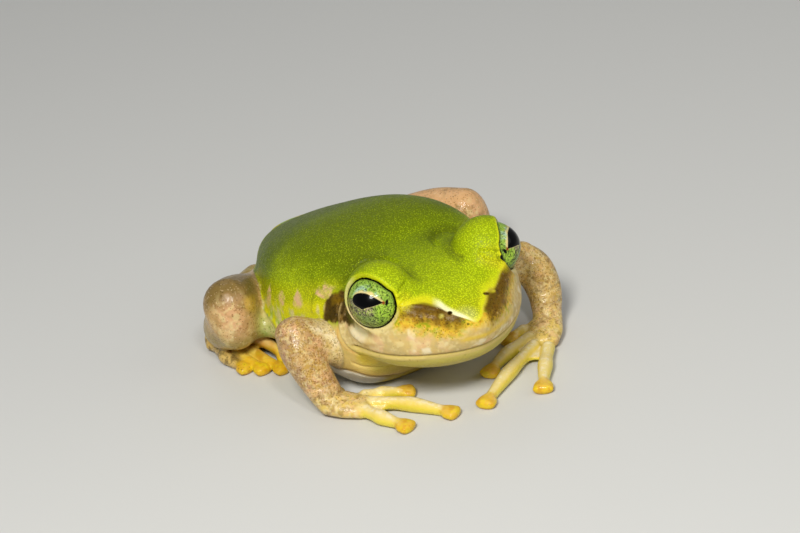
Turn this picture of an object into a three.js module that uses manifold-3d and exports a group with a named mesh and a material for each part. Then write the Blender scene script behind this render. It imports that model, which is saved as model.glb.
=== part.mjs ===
// A green tree frog crouched at rest, life size, in millimetres.
// +Z is up, the snout points to -Y, the frog's left side is +X, and the origin is the middle of the
// flat under its belly. Every part that touches the ground is cut off flat at z = 0.
import * as THREE from "three";
import Module from "manifold-3d";

const wasm = await Module();
wasm.setup();

// ---------------------------------------------------------------- driving sizes
const GAP = 0.3; // clear space between two parts that meet
const HEAD_AXIS_Y = -13; // the upright line that the head's outlines are measured from
// The cut between head and torso, as [y, z] from above the nape, under the jaw, to before the throat.
const NECK_LINE = [[-6.8, 30], [-7.6, 9], [-9.0, 5.2], [-12.4, 3.75], [-16, 2.9], [-40, 2.9]];

const EYE_RADIUS = 2.6;
// The head is held a little tilted, so the left eye sits higher. `rise` lifts the brow dome over the eye.
const EYES = {
  right: { centre: [-6.15, -13.35, 10.9], rise: 0.4 },
  left: { centre: [6.15, -13.35, 11.3], rise: 0.2 },
};
const EYE_OUTWARD = 60; // degrees that the eye looks out from straight ahead
const EYE_UPWARD = 14; // degrees that it looks up
const EYE_OPENING = 62; // degrees from the eye's axis to the edge of the lids
const CORNEA_RADIUS = 2.1; // the clear front bulges a little more than the ball
const CORNEA_FORWARD = 0.65;
const LID_THICKNESS = 0.42;
const LID_LENGTH = 1.3; // of the rim along the eye's axis, as a share of its thickness
const LID_SET_BACK = 0.1; // the rim sits this far behind the edge of the opening
const DOME_RADIUS = 3.2; // brow that covers the back of each eye
const DOME_BACK = 0.5; // the dome's middle lies this far behind the eye's
// The mouth of the socket widens from a little before the eye's middle outward: [distance, radius].
const SOCKET_MOUTH = [[1, 2.65], [4.5, 3.35]];

const NOSTRIL = [2.75, -19.1, 10.3];
const NOSTRIL_WAY = [0.55, -0.4, 0.73];
const NOSTRIL_RADIUS = 0.26;
const NOSTRIL_ENDS = [0.9, -0.5]; // the hole runs from before the skin to behind it
const NOSTRIL_RIM = { middle: [2.65, -18.8, 9.95], radius: 0.75 };
const EARDRUM = { middle: [7.45, -9.5, 8.3], way: [0.93, 0.24, 0.28], radius: 1.05, thickness: 0.25 };
// The fold over the eardrum, from the eye down to the shoulder, as limb stations.
const EAR_FOLD = [
  [6.4, -11.2, 11.1, 0.6, 0.6], [7.1, -9.2, 10.2, 0.6, 0.6], [7.9, -7.2, 9.0, 0.6, 0.6],
  [8.3, -6.4, 7.4, 0.5, 0.5],
];

const SKIN = { green: 0x8fb51f, limb: 0xc9a97c, digit: 0xe3b548, eye: 0x6f8f5a };

// ---------------------------------------------------------------- curves
// A smooth curve through (keys[i], values[i]), level beyond both ends.
function track(keys, values, x) {
  const last = keys.length - 1;
  if (x <= keys[0]) return values[0];
  if (x >= keys[last]) return values[last];
  let i = 0;
  while (x > keys[i + 1]) i += 1;
  const slope = (a, b) => (values[b] - values[a]) / (keys[b] - keys[a]);
  const width = keys[i + 1] - keys[i];
  const startSlope = slope(Math.max(i - 1, 0), i + 1) * width;
  const endSlope = slope(i, Math.min(i + 2, last)) * width;
  const t = (x - keys[i]) / width;
  const rise = t * t * (3 - 2 * t);
  return values[i] * (1 - rise) + values[i + 1] * rise
    + startSlope * t * (1 - t) * (1 - t) - endSlope * t * t * (1 - t);
}

const smoothStep = (from, to, x) => THREE.MathUtils.smoothstep(x, from, to);
const vector = (p) => new THREE.Vector3(p[0], p[1], p[2]);
const mirrored = (p, side) => [p[0] * side, ...p.slice(1)];

// ---------------------------------------------------------------- solids
// A closed solid from a list of points and a list of triangles, turned so that it faces outward.
function solid(points, triangles) {
  const vertProperties = new Float32Array(points.flatMap((p) => [p.x, p.y, p.z]));
  let volume = 0;
  for (let i = 0; i < triangles.length; i += 3) {
    const [a, b, c] = [points[triangles[i]], points[triangles[i + 1]], points[triangles[i + 2]]];
    volume += a.dot(b.clone().cross(c));
  }
  const order = volume > 0 ? triangles : triangles.slice().reverse();
  return new wasm.Manifold(new wasm.Mesh({ numProp: 3, vertProperties, triVerts: new Uint32Array(order) }));
}

// A closed solid skinned over rings of equal count, with a pole point closing each end.
function skinRings(rings, firstPole, lastPole) {
  const count = rings[0].length;
  const points = [firstPole, ...rings.flat(), lastPole];
  const end = points.length - 1;
  const at = (ring, k) => 1 + ring * count + (k % count);
  const triangles = [];
  for (let k = 0; k < count; k += 1) {
    triangles.push(0, at(0, k + 1), at(0, k));
    triangles.push(end, at(rings.length - 1, k), at(rings.length - 1, k + 1));
    for (let r = 0; r + 1 < rings.length; r += 1) {
      triangles.push(at(r, k), at(r, k + 1), at(r + 1, k + 1));
      triangles.push(at(r, k), at(r + 1, k + 1), at(r + 1, k));
    }
  }
  return solid(points, triangles);
}

// A rounded limb swept along a spine. A station is [x, y, z, half width, half height]; the height lies
// along `up`. `grow` swells it all round, to cut that much gap from a neighbour.
function limb(stations, { sides = 12, steps = 8, up = [0, 0, 1], grow = 0, roundness = 0.9 } = {}) {
  const spine = new THREE.CatmullRomCurve3(stations.map(vector));
  const sizes = new THREE.CatmullRomCurve3(
    stations.map((s) => new THREE.Vector3(s[3] + grow, s[4] + grow, 0)), false, "catmullrom");
  const ring = (t, scale, push) => {
    const tangent = spine.getTangent(t);
    const across = tangent.clone().cross(vector(up)).normalize();
    const upward = across.clone().cross(tangent);
    const centre = spine.getPoint(t).addScaledVector(tangent, push);
    const size = sizes.getPoint(t).multiplyScalar(scale);
    return Array.from({ length: sides }, (_, k) => {
      const angle = (2 * Math.PI * (k + 0.5)) / sides;
      return centre.clone()
        .addScaledVector(across, size.x * Math.cos(angle))
        .addScaledVector(upward, size.y * Math.sin(angle));
    });
  };
  const capLength = (t) => roundness * Math.min(sizes.getPoint(t).x, sizes.getPoint(t).y);
  const capAngles = [0.8];
  const rings = [];
  capAngles.slice().reverse().forEach((a) => rings.push(ring(0, Math.cos(a), -capLength(0) * Math.sin(a))));
  for (let i = 0; i <= steps; i += 1) rings.push(ring(i / steps, 1, 0));
  capAngles.forEach((a) => rings.push(ring(1, Math.cos(a), capLength(1) * Math.sin(a))));
  const pole = (t, way) => spine.getPoint(t).addScaledVector(spine.getTangent(t), way * capLength(t));
  return skinRings(rings, pole(0, -1), pole(1, 1));
}

// A ball with its poles on the given axis, stretched by `scale` before it is turned.
function ball(centre, radius, { scale = [1, 1, 1], axis = [0, 0, 1], around = 20, rows = 9 } = {}) {
  const turn = new THREE.Quaternion().setFromUnitVectors(vector([0, 0, 1]), vector(axis).normalize());
  const place = (x, y, z) => vector([x * scale[0], y * scale[1], z * scale[2]])
    .multiplyScalar(radius).applyQuaternion(turn).add(vector(centre));
  const rings = [];
  for (let r = 1; r < rows; r += 1) {
    const polar = (Math.PI * r) / rows;
    rings.push(Array.from({ length: around }, (_, k) => {
      const angle = (2 * Math.PI * k) / around;
      return place(Math.sin(polar) * Math.cos(angle), Math.sin(polar) * Math.sin(angle), Math.cos(polar));
    }));
  }
  return skinRings(rings, place(0, 0, 1), place(0, 0, -1));
}

// A ring of round section, lying square to the axis.
function torus(centre, radius, thickness, axis, scaleAlong = 1) {
  const shape = new THREE.TorusGeometry(radius, thickness, 5, 20).toNonIndexed();
  shape.scale(1, 1, scaleAlong);
  const turn = new THREE.Quaternion().setFromUnitVectors(vector([0, 0, 1]), vector(axis).normalize());
  shape.applyQuaternion(turn);
  shape.translate(...centre);
  return fromGeometry(shape);
}

// A closed three.js geometry as a solid, its shared corners merged.
function fromGeometry(geometry) {
  const position = geometry.getAttribute("position");
  const found = new Map();
  const points = [];
  const triangles = [];
  for (let i = 0; i < position.count; i += 1) {
    const p = new THREE.Vector3().fromBufferAttribute(position, i);
    const key = p.toArray().map((value) => Math.round(value * 1e4)).join();
    if (!found.has(key)) {
      found.set(key, points.length);
      points.push(p);
    }
    triangles.push(found.get(key));
  }
  return solid(points, triangles);
}

// A box from its lowest to its highest corner.
function block(low, high) {
  const shape = new THREE.BoxGeometry(high[0] - low[0], high[1] - low[1], high[2] - low[2]).toNonIndexed();
  shape.translate((low[0] + high[0]) / 2, (low[1] + high[1]) / 2, (low[2] + high[2]) / 2);
  return fromGeometry(shape);
}

const join = (list) => list.reduce((whole, piece) => whole.add(piece));
const cut = (body, tools) => tools.reduce((rest, tool) => rest.subtract(tool), body);
const groundBlock = block([-60, -60, -20], [60, 60, 0]);

// The largest closed body of a solid.
function largest(body) {
  const bodies = body.decompose();
  return bodies.reduce((best, next) => (next.volume() > best.volume() ? next : best));
}

// ---------------------------------------------------------------- torso
// Sections square to Y: half width, back, belly and the height of the widest line.
const TORSO = {
  y: [-13.2, -12.1, -10.9, -8.6, -5, -1, 3, 7, 11, 14.6, 17.2],
  width: [4.2, 6.5, 8.0, 9.0, 10.0, 10.3, 10.2, 9.3, 7.4, 5.5, 3.3],
  back: [8.2, 9.2, 10.1, 11.6, 12.9, 12.9, 12.0, 10.5, 8.7, 7.0, 5.6],
  belly: [3.8, 2.6, 1.1, -0.4, -0.5, -0.6, -0.6, -0.5, 0.0, 1.1, 2.6],
  middle: [6.0, 5.9, 5.8, 5.7, 5.4, 4.9, 4.3, 4.2, 4.4, 4.3, 4.1],
};
const TORSO_SIDES = 30;
const TORSO_RINGS = 20;
const BACK_SQUARENESS = 2.65; // 2 is an ellipse
const BELLY_SQUARENESS = 3.0;
const TORSO_ENDS = { front: 0.6, rear: 0.9 }; // how far the closing points stand beyond the end sections
const BEND = { y: [-13, -5, 4, 18], shift: [-0.6, 0.5, 0.6, 1.8] }; // the back curves to its left

const bend = (y) => track(BEND.y, BEND.shift, y);

function torsoLoft(grow = 0) {
  const curve = (value, squareness) => Math.sign(value) * Math.abs(value) ** (2 / squareness);
  const [front, rear] = [TORSO.y[0], TORSO.y[TORSO.y.length - 1]];
  const rings = [];
  for (let r = 0; r <= TORSO_RINGS; r += 1) {
    const y = front + ((rear - front) * r) / TORSO_RINGS;
    const at = (name) => track(TORSO.y, TORSO[name], y);
    const middle = at("middle");
    rings.push(Array.from({ length: TORSO_SIDES }, (_, k) => {
      const angle = (2 * Math.PI * k) / TORSO_SIDES;
      const above = Math.sin(angle) > 0;
      const squareness = above ? BACK_SQUARENESS : BELLY_SQUARENESS;
      const reach = above ? at("back") - middle : middle - at("belly");
      return vector([
        bend(y) + (at("width") + grow) * curve(Math.cos(angle), squareness),
        y,
        middle + (reach + grow) * curve(Math.sin(angle), squareness),
      ]);
    }));
  }
  return skinRings(rings,
    vector([bend(front), front - TORSO_ENDS.front - grow, track(TORSO.y, TORSO.middle, front)]),
    vector([bend(rear), rear + TORSO_ENDS.rear + grow, track(TORSO.y, TORSO.middle, rear)]));
}

// ---------------------------------------------------------------- head
// Outlines of the head from the throat up. Each is a closed line round the head's axis: its distance
// from the axis and its height at these angles from the snout.
const HEAD_ANGLES = [0, 40, 80, 120, 180];
const HEAD_LINES = {
  throat: { reach: [2.8, 2.8, 2.8, 2.8, 2.8], height: [4.0, 4.0, 4.0, 4.0, 4.0] },
  underJaw: { reach: [5.2, 5.0, 5.2, 5.5, 5.0], height: [4.4, 4.25, 4.3, 4.4, 4.3] },
  jaw: { reach: [6.5, 6.15, 6.6, 7.3, 6.6], height: [5.0, 4.85, 4.8, 4.8, 4.7] },
  jawEdge: { reach: [7.2, 6.8, 7.3, 8.1, 7.0], height: [5.65, 5.5, 5.4, 5.3, 5.2] },
  lowerLip: { reach: [7.5, 7.1, 7.65, 8.5, 7.2], height: [6.4, 6.3, 6.15, 6.0, 5.8] },
  upperLip: { reach: [7.95, 7.4, 7.95, 8.7, 7.3], height: [7.1, 7.0, 6.9, 6.9, 6.8] },
  upperJaw: { reach: [8.3, 7.45, 8.0, 8.6, 7.3], height: [8.0, 7.9, 7.8, 7.8, 7.7] },
  cheek: { reach: [8.4, 7.2, 7.7, 8.3, 7.2], height: [9.0, 9.0, 9.1, 9.2, 9.0] },
  canthus: { reach: [7.9, 6.8, 6.8, 7.6, 6.8], height: [9.85, 10.3, 10.8, 10.6, 10.4] },
  brow: { reach: [6.6, 5.8, 5.8, 6.4, 5.8], height: [10.45, 10.95, 11.6, 11.6, 11.6] },
  crown: { reach: [3.8, 3.7, 3.7, 3.8, 3.8], height: [11.2, 11.6, 12.0, 12.2, 12.3] },
};
const HEAD_SIDES = 36;
const MOUTH_DEPTH = 0.5;
const MOUTH_CORNER = 112; // degrees from the snout
const MOUTH_FADE = 16; // the groove runs out over this many degrees before the corner
const THROAT_HEIGHT = 3.9;
const CROWN_HEIGHT = 12.1;

function headPoint(line, degrees) {
  const from = Math.abs(((degrees + 180) % 360) - 180);
  return { reach: track(HEAD_ANGLES, line.reach, from), height: track(HEAD_ANGLES, line.height, from) };
}

function headLoft(grow = 0) {
  const ringOf = (pick) => Array.from({ length: HEAD_SIDES }, (_, k) => {
    const degrees = (360 * k) / HEAD_SIDES;
    const angle = THREE.MathUtils.degToRad(degrees);
    const { reach, height } = pick(degrees);
    const away = reach + grow;
    return vector([Math.sin(angle) * away, HEAD_AXIS_Y - Math.cos(angle) * away, height]);
  });
  const lift = (name) => (degrees) => {
    const point = headPoint(HEAD_LINES[name], degrees);
    const way = ["throat", "underJaw", "jaw"].includes(name) ? -grow : 0;
    return { reach: point.reach, height: point.height + (["brow", "crown"].includes(name) ? grow : way) };
  };
  // The mouth is a groove between the lips that runs out at the corners of the jaw.
  const mouth = (share) => (degrees) => {
    const [low, high] = [headPoint(HEAD_LINES.lowerLip, degrees), headPoint(HEAD_LINES.upperLip, degrees)];
    const from = Math.abs(((degrees + 180) % 360) - 180);
    const depth = MOUTH_DEPTH * (1 - smoothStep(MOUTH_CORNER - MOUTH_FADE, MOUTH_CORNER, from));
    return {
      reach: THREE.MathUtils.lerp(low.reach, high.reach, share) - depth,
      height: THREE.MathUtils.lerp(low.height, high.height, share),
    };
  };
  const names = Object.keys(HEAD_LINES);
  const picks = names.map(lift);
  picks.splice(names.indexOf("upperLip"), 0, mouth(0.5));
  return skinRings(picks.map(ringOf),
    vector([0, HEAD_AXIS_Y, THROAT_HEIGHT - grow]), vector([0, HEAD_AXIS_Y, CROWN_HEIGHT + grow]));
}

function eyeAxis(side) {
  const [out, up] = [THREE.MathUtils.degToRad(EYE_OUTWARD), THREE.MathUtils.degToRad(EYE_UPWARD)];
  return [side * Math.sin(out) * Math.cos(up), -Math.cos(out) * Math.cos(up), Math.sin(up)];
}

const along = (start, axis, distance) => vector(start).addScaledVector(vector(axis), distance).toArray();

// The brow dome and the rim of the lids round one eye, then the socket and the opening to cut.
function lids(name, side) {
  const axis = eyeAxis(side);
  const { centre, rise } = EYES[name];
  const opening = THREE.MathUtils.degToRad(EYE_OPENING);
  const rimCentre = along(centre, axis, EYE_RADIUS * Math.cos(opening) - LID_SET_BACK);
  const rimRadius = EYE_RADIUS * Math.sin(opening) + GAP + LID_THICKNESS / 2;
  const domeCentre = vector(along(centre, axis, -DOME_BACK)).add(vector([0, 0, rise])).toArray();
  return join([
    ball(domeCentre, DOME_RADIUS, { axis, around: 20, rows: 9 }),
    torus(rimCentre, rimRadius, LID_THICKNESS / 2, axis, LID_LENGTH),
  ]);
}

function socket(name, side) {
  const axis = eyeAxis(side);
  const { centre } = EYES[name];
  return join([
    ball(centre, EYE_RADIUS + GAP, { axis, around: 20, rows: 9 }),
    limb(SOCKET_MOUTH.map(([distance, radius]) => [...along(centre, axis, distance), radius, radius]),
      { sides: 20, steps: 1, roundness: 0.02 }),
  ]);
}

function eyeball(name, side) {
  const axis = eyeAxis(side);
  const { centre } = EYES[name];
  return join([
    ball(centre, EYE_RADIUS, { axis, around: 18, rows: 9 }),
    ball(along(centre, axis, CORNEA_FORWARD), CORNEA_RADIUS, { axis, around: 18, rows: 9 }),
  ]);
}

// Low rims round the nostrils and the eardrums, and the fold that runs back from the eye.
function headRelief(side) {
  return join([
    ball(mirrored(NOSTRIL_RIM.middle, side), NOSTRIL_RIM.radius, { around: 10, rows: 6 }),
    torus(mirrored(EARDRUM.middle, side), EARDRUM.radius, EARDRUM.thickness, mirrored(EARDRUM.way, side)),
    limb(EAR_FOLD.map((station) => mirrored(station, side)), { sides: 8, steps: 5, up: [1, 0, 0] }),
  ]);
}

function nostrilHole(side) {
  const [centre, way] = [NOSTRIL, NOSTRIL_WAY].map((p) => mirrored(p, side));
  const ends = NOSTRIL_ENDS.map((distance) => along(centre, way, distance));
  return limb(ends.map((p) => [...p, NOSTRIL_RADIUS, NOSTRIL_RADIUS]), { sides: 8, steps: 1, up: [1, 0, 0] });
}

// All that lies before or behind the neck cut, half a gap clear of it. `side` is -1 for the head's part.
function neckRegion(side) {
  const line = NECK_LINE.map(([y, z], i) => {
    const [before, after] = [NECK_LINE[Math.max(i - 1, 0)], NECK_LINE[Math.min(i + 1, NECK_LINE.length - 1)]];
    const normal = new THREE.Vector2(before[1] - after[1], after[0] - before[0]).normalize();
    return new THREE.Vector2(y, z).addScaledVector(normal, (side * GAP) / 2);
  });
  const far = side < 0 ? [[-40, 30]] : [[-40, -20], [60, -20], [60, 30]];
  const shape = new THREE.Shape([...line, ...far.map(([y, z]) => new THREE.Vector2(y, z))]);
  const geometry = new THREE.ExtrudeGeometry(shape, { depth: 60, bevelEnabled: false, steps: 1 });
  geometry.applyMatrix4(new THREE.Matrix4().set(0, 0, 1, -30, 1, 0, 0, 0, 0, 1, 0, 0, 0, 0, 0, 1));
  return fromGeometry(geometry.index ? geometry.toNonIndexed() : geometry);
}

// ---------------------------------------------------------------- limbs
// Stations are [x, y, z, half width, half height], from the root to the far end.
const ARMS = {
  right: {
    upper: [
      [-5.6, -7.5, 3.2, 2.4, 2.4], [-8.6, -7.9, 5.3, 2.0, 2.0], [-11.6, -7.2, 7.0, 1.75, 1.8],
    ],
    fore: [
      [-12.0, -6.9, 7.3, 1.6, 1.6], [-12.0, -7.9, 5.9, 1.85, 1.85], [-11.6, -9.1, 3.7, 1.7, 1.65],
      [-11.2, -10.3, 1.9, 1.5, 1.35],
    ],
    hand: [
      [-11.1, -10.4, 1.15, 1.45, 1.15], [-10.1, -11.5, 0.9, 1.7, 1.0], [-9.0, -12.7, 0.7, 1.6, 0.8],
    ],
    fingers: [
      [[-9.9, -10.3, 0.9], [-9.6, -9.2, 0.7], [-9.3, -7.9, 0.42]],
      [[-8.0, -11.5, 0.9], [-6.0, -12.2, 0.7], [-3.85, -13.1, 0.42]],
      [[-8.1, -12.9, 0.8], [-5.9, -15.1, 0.75], [-3.2, -19.5, 0.42]],
      [[-9.3, -13.4, 0.8], [-8.8, -15.4, 0.7], [-7.6, -18.65, 0.42]],
    ],
  },
  left: {
    upper: [
      [5.6, -7.6, 3.6, 2.2, 2.2], [8.8, -8.2, 5.0, 1.95, 1.95], [11.5, -8.4, 6.2, 1.7, 1.7],
    ],
    fore: [
      [11.9, -8.5, 6.5, 1.6, 1.6], [12.7, -9.3, 5.3, 1.8, 1.8], [12.8, -10.5, 3.5, 1.7, 1.6],
      [12.2, -11.6, 1.9, 1.45, 1.3],
    ],
    hand: [
      [12.0, -11.9, 1.15, 1.4, 1.15], [10.8, -13.2, 0.9, 1.65, 1.0], [9.6, -14.4, 0.7, 1.6, 0.8],
    ],
    fingers: [
      [[10.2, -12.0, 0.9], [8.6, -11.6, 0.7], [7.2, -11.9, 0.42]],
      [[8.8, -13.4, 0.9], [5.75, -14.1, 0.7], [2.7, -15.6, 0.42]],
      [[8.4, -14.8, 0.8], [3.9, -17.3, 0.75], [-0.6, -20.1, 0.42]],
      [[9.2, -16.0, 0.8], [6.8, -19.0, 0.7], [4.75, -21.7, 0.42]],
    ],
  },
};

// The legs are given as the left one and mirrored for the right, whose knee is held lower and fuller.
const LEGS = {
  right: {
    thigh: [
      [3.2, 12.0, 2.8, 2.4, 2.3], [8.4, 8.8, 3.6, 2.5, 2.4], [12.0, 5.6, 5.7, 2.5, 2.5],
      [13.4, 4.0, 6.5, 2.5, 2.5],
    ],
    shank: [
      [13.2, 3.7, 4.0, 2.05, 2.05], [13.5, 6.4, 3.0, 1.9, 1.9], [10.7, 11.2, 2.5, 1.7, 1.6],
      [6.0, 15.4, 2.0, 1.3, 1.3],
    ],
  },
  left: {
    thigh: [
      [3.2, 13.0, 3.6, 2.4, 2.3], [8.2, 10.2, 4.6, 2.5, 2.4], [11.6, 7.2, 5.8, 2.4, 2.3],
      [13.4, 4.6, 6.3, 2.1, 2.1],
    ],
    shank: [
      [13.7, 4.2, 4.6, 1.8, 1.9], [13.7, 6.6, 3.2, 1.9, 1.9], [10.7, 11.2, 2.5, 1.7, 1.6],
      [6.0, 15.4, 2.0, 1.3, 1.3],
    ],
  },
};
const FOOT = [
  [6.4, 15.8, 0.9, 1.1, 0.9], [10.0, 12.6, 0.9, 1.1, 0.9], [12.9, 9.4, 0.85, 1.5, 0.8],
  [13.3, 7.9, 0.7, 1.7, 0.7],
];
const TOES = [
  [[11.8, 8.8, 0.8], [10.4, 7.4, 0.7], [9.6, 5.4, 0.42]],
  [[12.0, 7.4, 1.0], [10.9, 4.2, 1.75], [9.85, 0.5, 0.45]],
  [[12.5, 7.6, 0.7], [12.0, 3.4, 0.8], [11.1, -0.9, 0.42]],
  [[13.2, 7.6, 0.7], [13.1, 4.2, 0.7], [12.5, 0.4, 0.42]],
  [[14.0, 7.9, 0.7], [14.2, 5.0, 0.6], [13.6, 1.8, 0.42]],
];

const DIGIT = { shaft: 0.6, knuckle: 0.72, neck: 0.52, disc: 0.98, discHeight: 0.52, discLength: 1.5 };
const TOE_SIZE = 0.95; // toes are this much of a finger's thickness

// A finger or toe: a round shaft with a knuckle, a narrow neck and a flat, rounded disc at the tip.
function digit(points, size, grow = 0) {
  const curve = new THREE.CatmullRomCurve3(points.map(vector));
  const length = curve.getLength();
  const discShare = (DIGIT.discLength * size) / length;
  const shares = [0, 0.3, 0.55, 0.8, 1].map((share) => share * (1 - discShare));
  const widths = [1.1 * DIGIT.shaft, DIGIT.shaft, DIGIT.knuckle, DIGIT.shaft, DIGIT.neck];
  shares.push(1 - 0.6 * discShare, 1 - 0.15 * discShare);
  widths.push(0.9 * DIGIT.disc, DIGIT.disc);
  const stations = shares.map((share, i) => {
    const at = curve.getPointAt(share);
    const height = Math.min(widths[i], i > 4 ? DIGIT.discHeight : 1);
    return [at.x, at.y, at.z, widths[i] * size, height * size];
  });
  return limb(stations, { sides: 8, steps: 8, grow });
}

const WEB = { low: 0.15, thickness: 0.55, fingerReach: 0.3, toeReach: 0.68, valley: 0.72 };

// A flat web between two digits: it runs `reach` of the way along both and hangs back between them.
function web(first, second, reach) {
  const edgeOf = (points) => {
    const curve = new THREE.CatmullRomCurve3(points.map(vector));
    return [0, 0.5, 1].map((share) => curve.getPointAt(share * reach));
  };
  const valley = [first, second]
    .map((points) => new THREE.CatmullRomCurve3(points.map(vector)).getPointAt(reach * WEB.valley));
  const outline = [...edgeOf(first), valley[0].lerp(valley[1], 0.5), ...edgeOf(second).reverse()];
  const shape = new THREE.Shape(outline.map((p) => new THREE.Vector2(p.x, p.y)));
  const geometry = new THREE.ExtrudeGeometry(shape, { depth: WEB.thickness, bevelEnabled: false });
  geometry.translate(0, 0, WEB.low);
  return fromGeometry(geometry.index ? geometry.toNonIndexed() : geometry);
}

// ---------------------------------------------------------------- assembly
const group = new THREE.Group();
group.name = "tree_frog";

function addNode(name, body, color) {
  const { vertProperties, triVerts, numProp } = largest(body.subtract(groundBlock)).getMesh();
  const geometry = new THREE.BufferGeometry();
  const position = new Float32Array((vertProperties.length / numProp) * 3);
  for (let i = 0; i < position.length / 3; i += 1) {
    for (let axis = 0; axis < 3; axis += 1) position[3 * i + axis] = vertProperties[i * numProp + axis];
  }
  geometry.setAttribute("position", new THREE.BufferAttribute(position, 3));
  geometry.setIndex(new THREE.BufferAttribute(triVerts, 1));
  geometry.computeVertexNormals();
  const material = new THREE.MeshStandardMaterial({ color, roughness: 0.4, metalness: 0 });
  const mesh = new THREE.Mesh(geometry, material);
  mesh.name = name;
  group.add(mesh);
}

const SIDES = [["right", -1], ["left", 1]];
const reliefs = SIDES.flatMap(([name, side]) => [lids(name, side), headRelief(side)]);
const trunk = join([torsoLoft(), headLoft(), ...reliefs]);
const trunkCut = join([torsoLoft(GAP), headLoft(GAP), trunk]);

addNode("torso", trunk.intersect(neckRegion(1)), SKIN.green);
addNode("head",
  cut(trunk.intersect(neckRegion(-1)),
    SIDES.flatMap(([name, side]) => [socket(name, side), nostrilHole(side)])), SKIN.green);

SIDES.forEach(([name, side]) => {
  addNode(`eye_${name}`, eyeball(name, side), SKIN.eye);

  const taken = [trunkCut];
  const place = (node, make, color, skin) => {
    addNode(node, cut(skin ? make(0).add(skin) : make(0), taken), color);
    taken.push(make(GAP));
  };
  // Each digit carries the web to the next one and keeps it clear of that digit.
  const placeDigits = (digitName, lines, size, reach) => lines.forEach((line, i) => {
    const next = lines[i + 1];
    const skin = next && web(line, next, reach).subtract(digit(next, size, GAP));
    place(`${digitName}_${name}_${i + 1}`, (grow) => digit(line, size, grow), SKIN.digit, skin);
  });

  const arm = ARMS[name];
  const sideways = { up: [0, 1, 0] };
  place(`upper_arm_${name}`, (grow) => limb(arm.upper, { sides: 12, steps: 5, grow }), SKIN.limb);
  place(`forearm_${name}`, (grow) => limb(arm.fore, { ...sideways, sides: 12, steps: 7, grow }), SKIN.limb);
  place(`hand_${name}`, (grow) => limb(arm.hand, { sides: 12, steps: 4, grow }), SKIN.limb);
  placeDigits("finger", arm.fingers, 1, WEB.fingerReach);

  const mirror = (stations) => stations.map((s) => [s[0] * side + bend(s[1]), ...s.slice(1)]);
  const [thigh, shank, foot] = [LEGS[name].thigh, LEGS[name].shank, FOOT].map(mirror);
  place(`thigh_${name}`, (grow) => limb(thigh, { sides: 14, steps: 7, grow }), SKIN.limb);
  place(`shank_${name}`, (grow) => limb(shank, { sides: 12, steps: 8, grow }), SKIN.limb);
  place(`foot_${name}`, (grow) => limb(foot, { sides: 10, steps: 6, grow }), SKIN.limb);
  placeDigits("toe", TOES.map(mirror), TOE_SIZE, WEB.toeReach);
});

export default group;
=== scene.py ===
"""Looks of the tree frog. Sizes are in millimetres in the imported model's frame and become metres
where a mesh is made: +Z is up, the snout points to -Y and the frog's left side is +X."""

import math

import bpy
import numpy as np
import openvdb as vdb
from mathutils import Matrix


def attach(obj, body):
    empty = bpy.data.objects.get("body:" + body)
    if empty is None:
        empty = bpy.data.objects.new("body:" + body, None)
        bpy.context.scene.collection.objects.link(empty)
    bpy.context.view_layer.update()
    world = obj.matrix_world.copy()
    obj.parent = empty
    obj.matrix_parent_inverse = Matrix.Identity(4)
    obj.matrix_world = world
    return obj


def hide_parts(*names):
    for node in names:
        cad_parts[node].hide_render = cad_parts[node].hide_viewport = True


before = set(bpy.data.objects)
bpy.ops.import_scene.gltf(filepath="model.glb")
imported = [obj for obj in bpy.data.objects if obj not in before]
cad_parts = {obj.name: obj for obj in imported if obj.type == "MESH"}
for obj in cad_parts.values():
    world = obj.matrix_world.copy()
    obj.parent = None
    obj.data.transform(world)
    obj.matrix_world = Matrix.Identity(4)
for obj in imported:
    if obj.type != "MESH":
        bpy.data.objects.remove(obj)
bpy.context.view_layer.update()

MM = 0.001
VOXEL = 0.1
BAND = 1.8  # how far from a surface its distance is known
LOW = np.array([-16.5, -23.2, -1.2])
HIGH = np.array([17.7, 19.4, 15.6])

# ---- the body's sizes, as in the solids
HEAD_AXIS_Y = -13
EYE_RADIUS = 2.6
EYES = {-1: np.array([-6.15, -13.35, 10.9]), 1: np.array([6.15, -13.35, 11.3])}
EYE_OUTWARD, EYE_UPWARD = 60, 14  # degrees
CORNEA_RADIUS, CORNEA_FORWARD = 2.1, 0.65
DOME_RADIUS, DOME_BACK, DOME_RISES = 3.12, 0.5, {-1: 0.4, 1: 0.2}

TORSO = {
    "y": [-13.2, -12.1, -10.9, -8.6, -5, -1, 3, 7, 11, 14.6, 17.2],
    "width": [4.2, 6.5, 8, 9, 10, 10.3, 10.2, 9.3, 7.4, 5.5, 3.3],
    "back": [8.2, 9.2, 10.1, 11.6, 12.9, 12.9, 12, 10.5, 8.7, 7, 5.6],
    "belly": [3.8, 2.6, 1.1, -0.4, -0.5, -0.6, -0.6, -0.5, 0, 1.1, 2.6],
    "middle": [6, 5.9, 5.8, 5.7, 5.4, 4.9, 4.3, 4.2, 4.4, 4.3, 4.1],
}
BACK_SQUARENESS, BELLY_SQUARENESS = 2.65, 3
BEND_Y, BEND_SHIFT = [-13, -5, 4, 18], [-0.6, 0.5, 0.6, 1.8]

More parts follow.
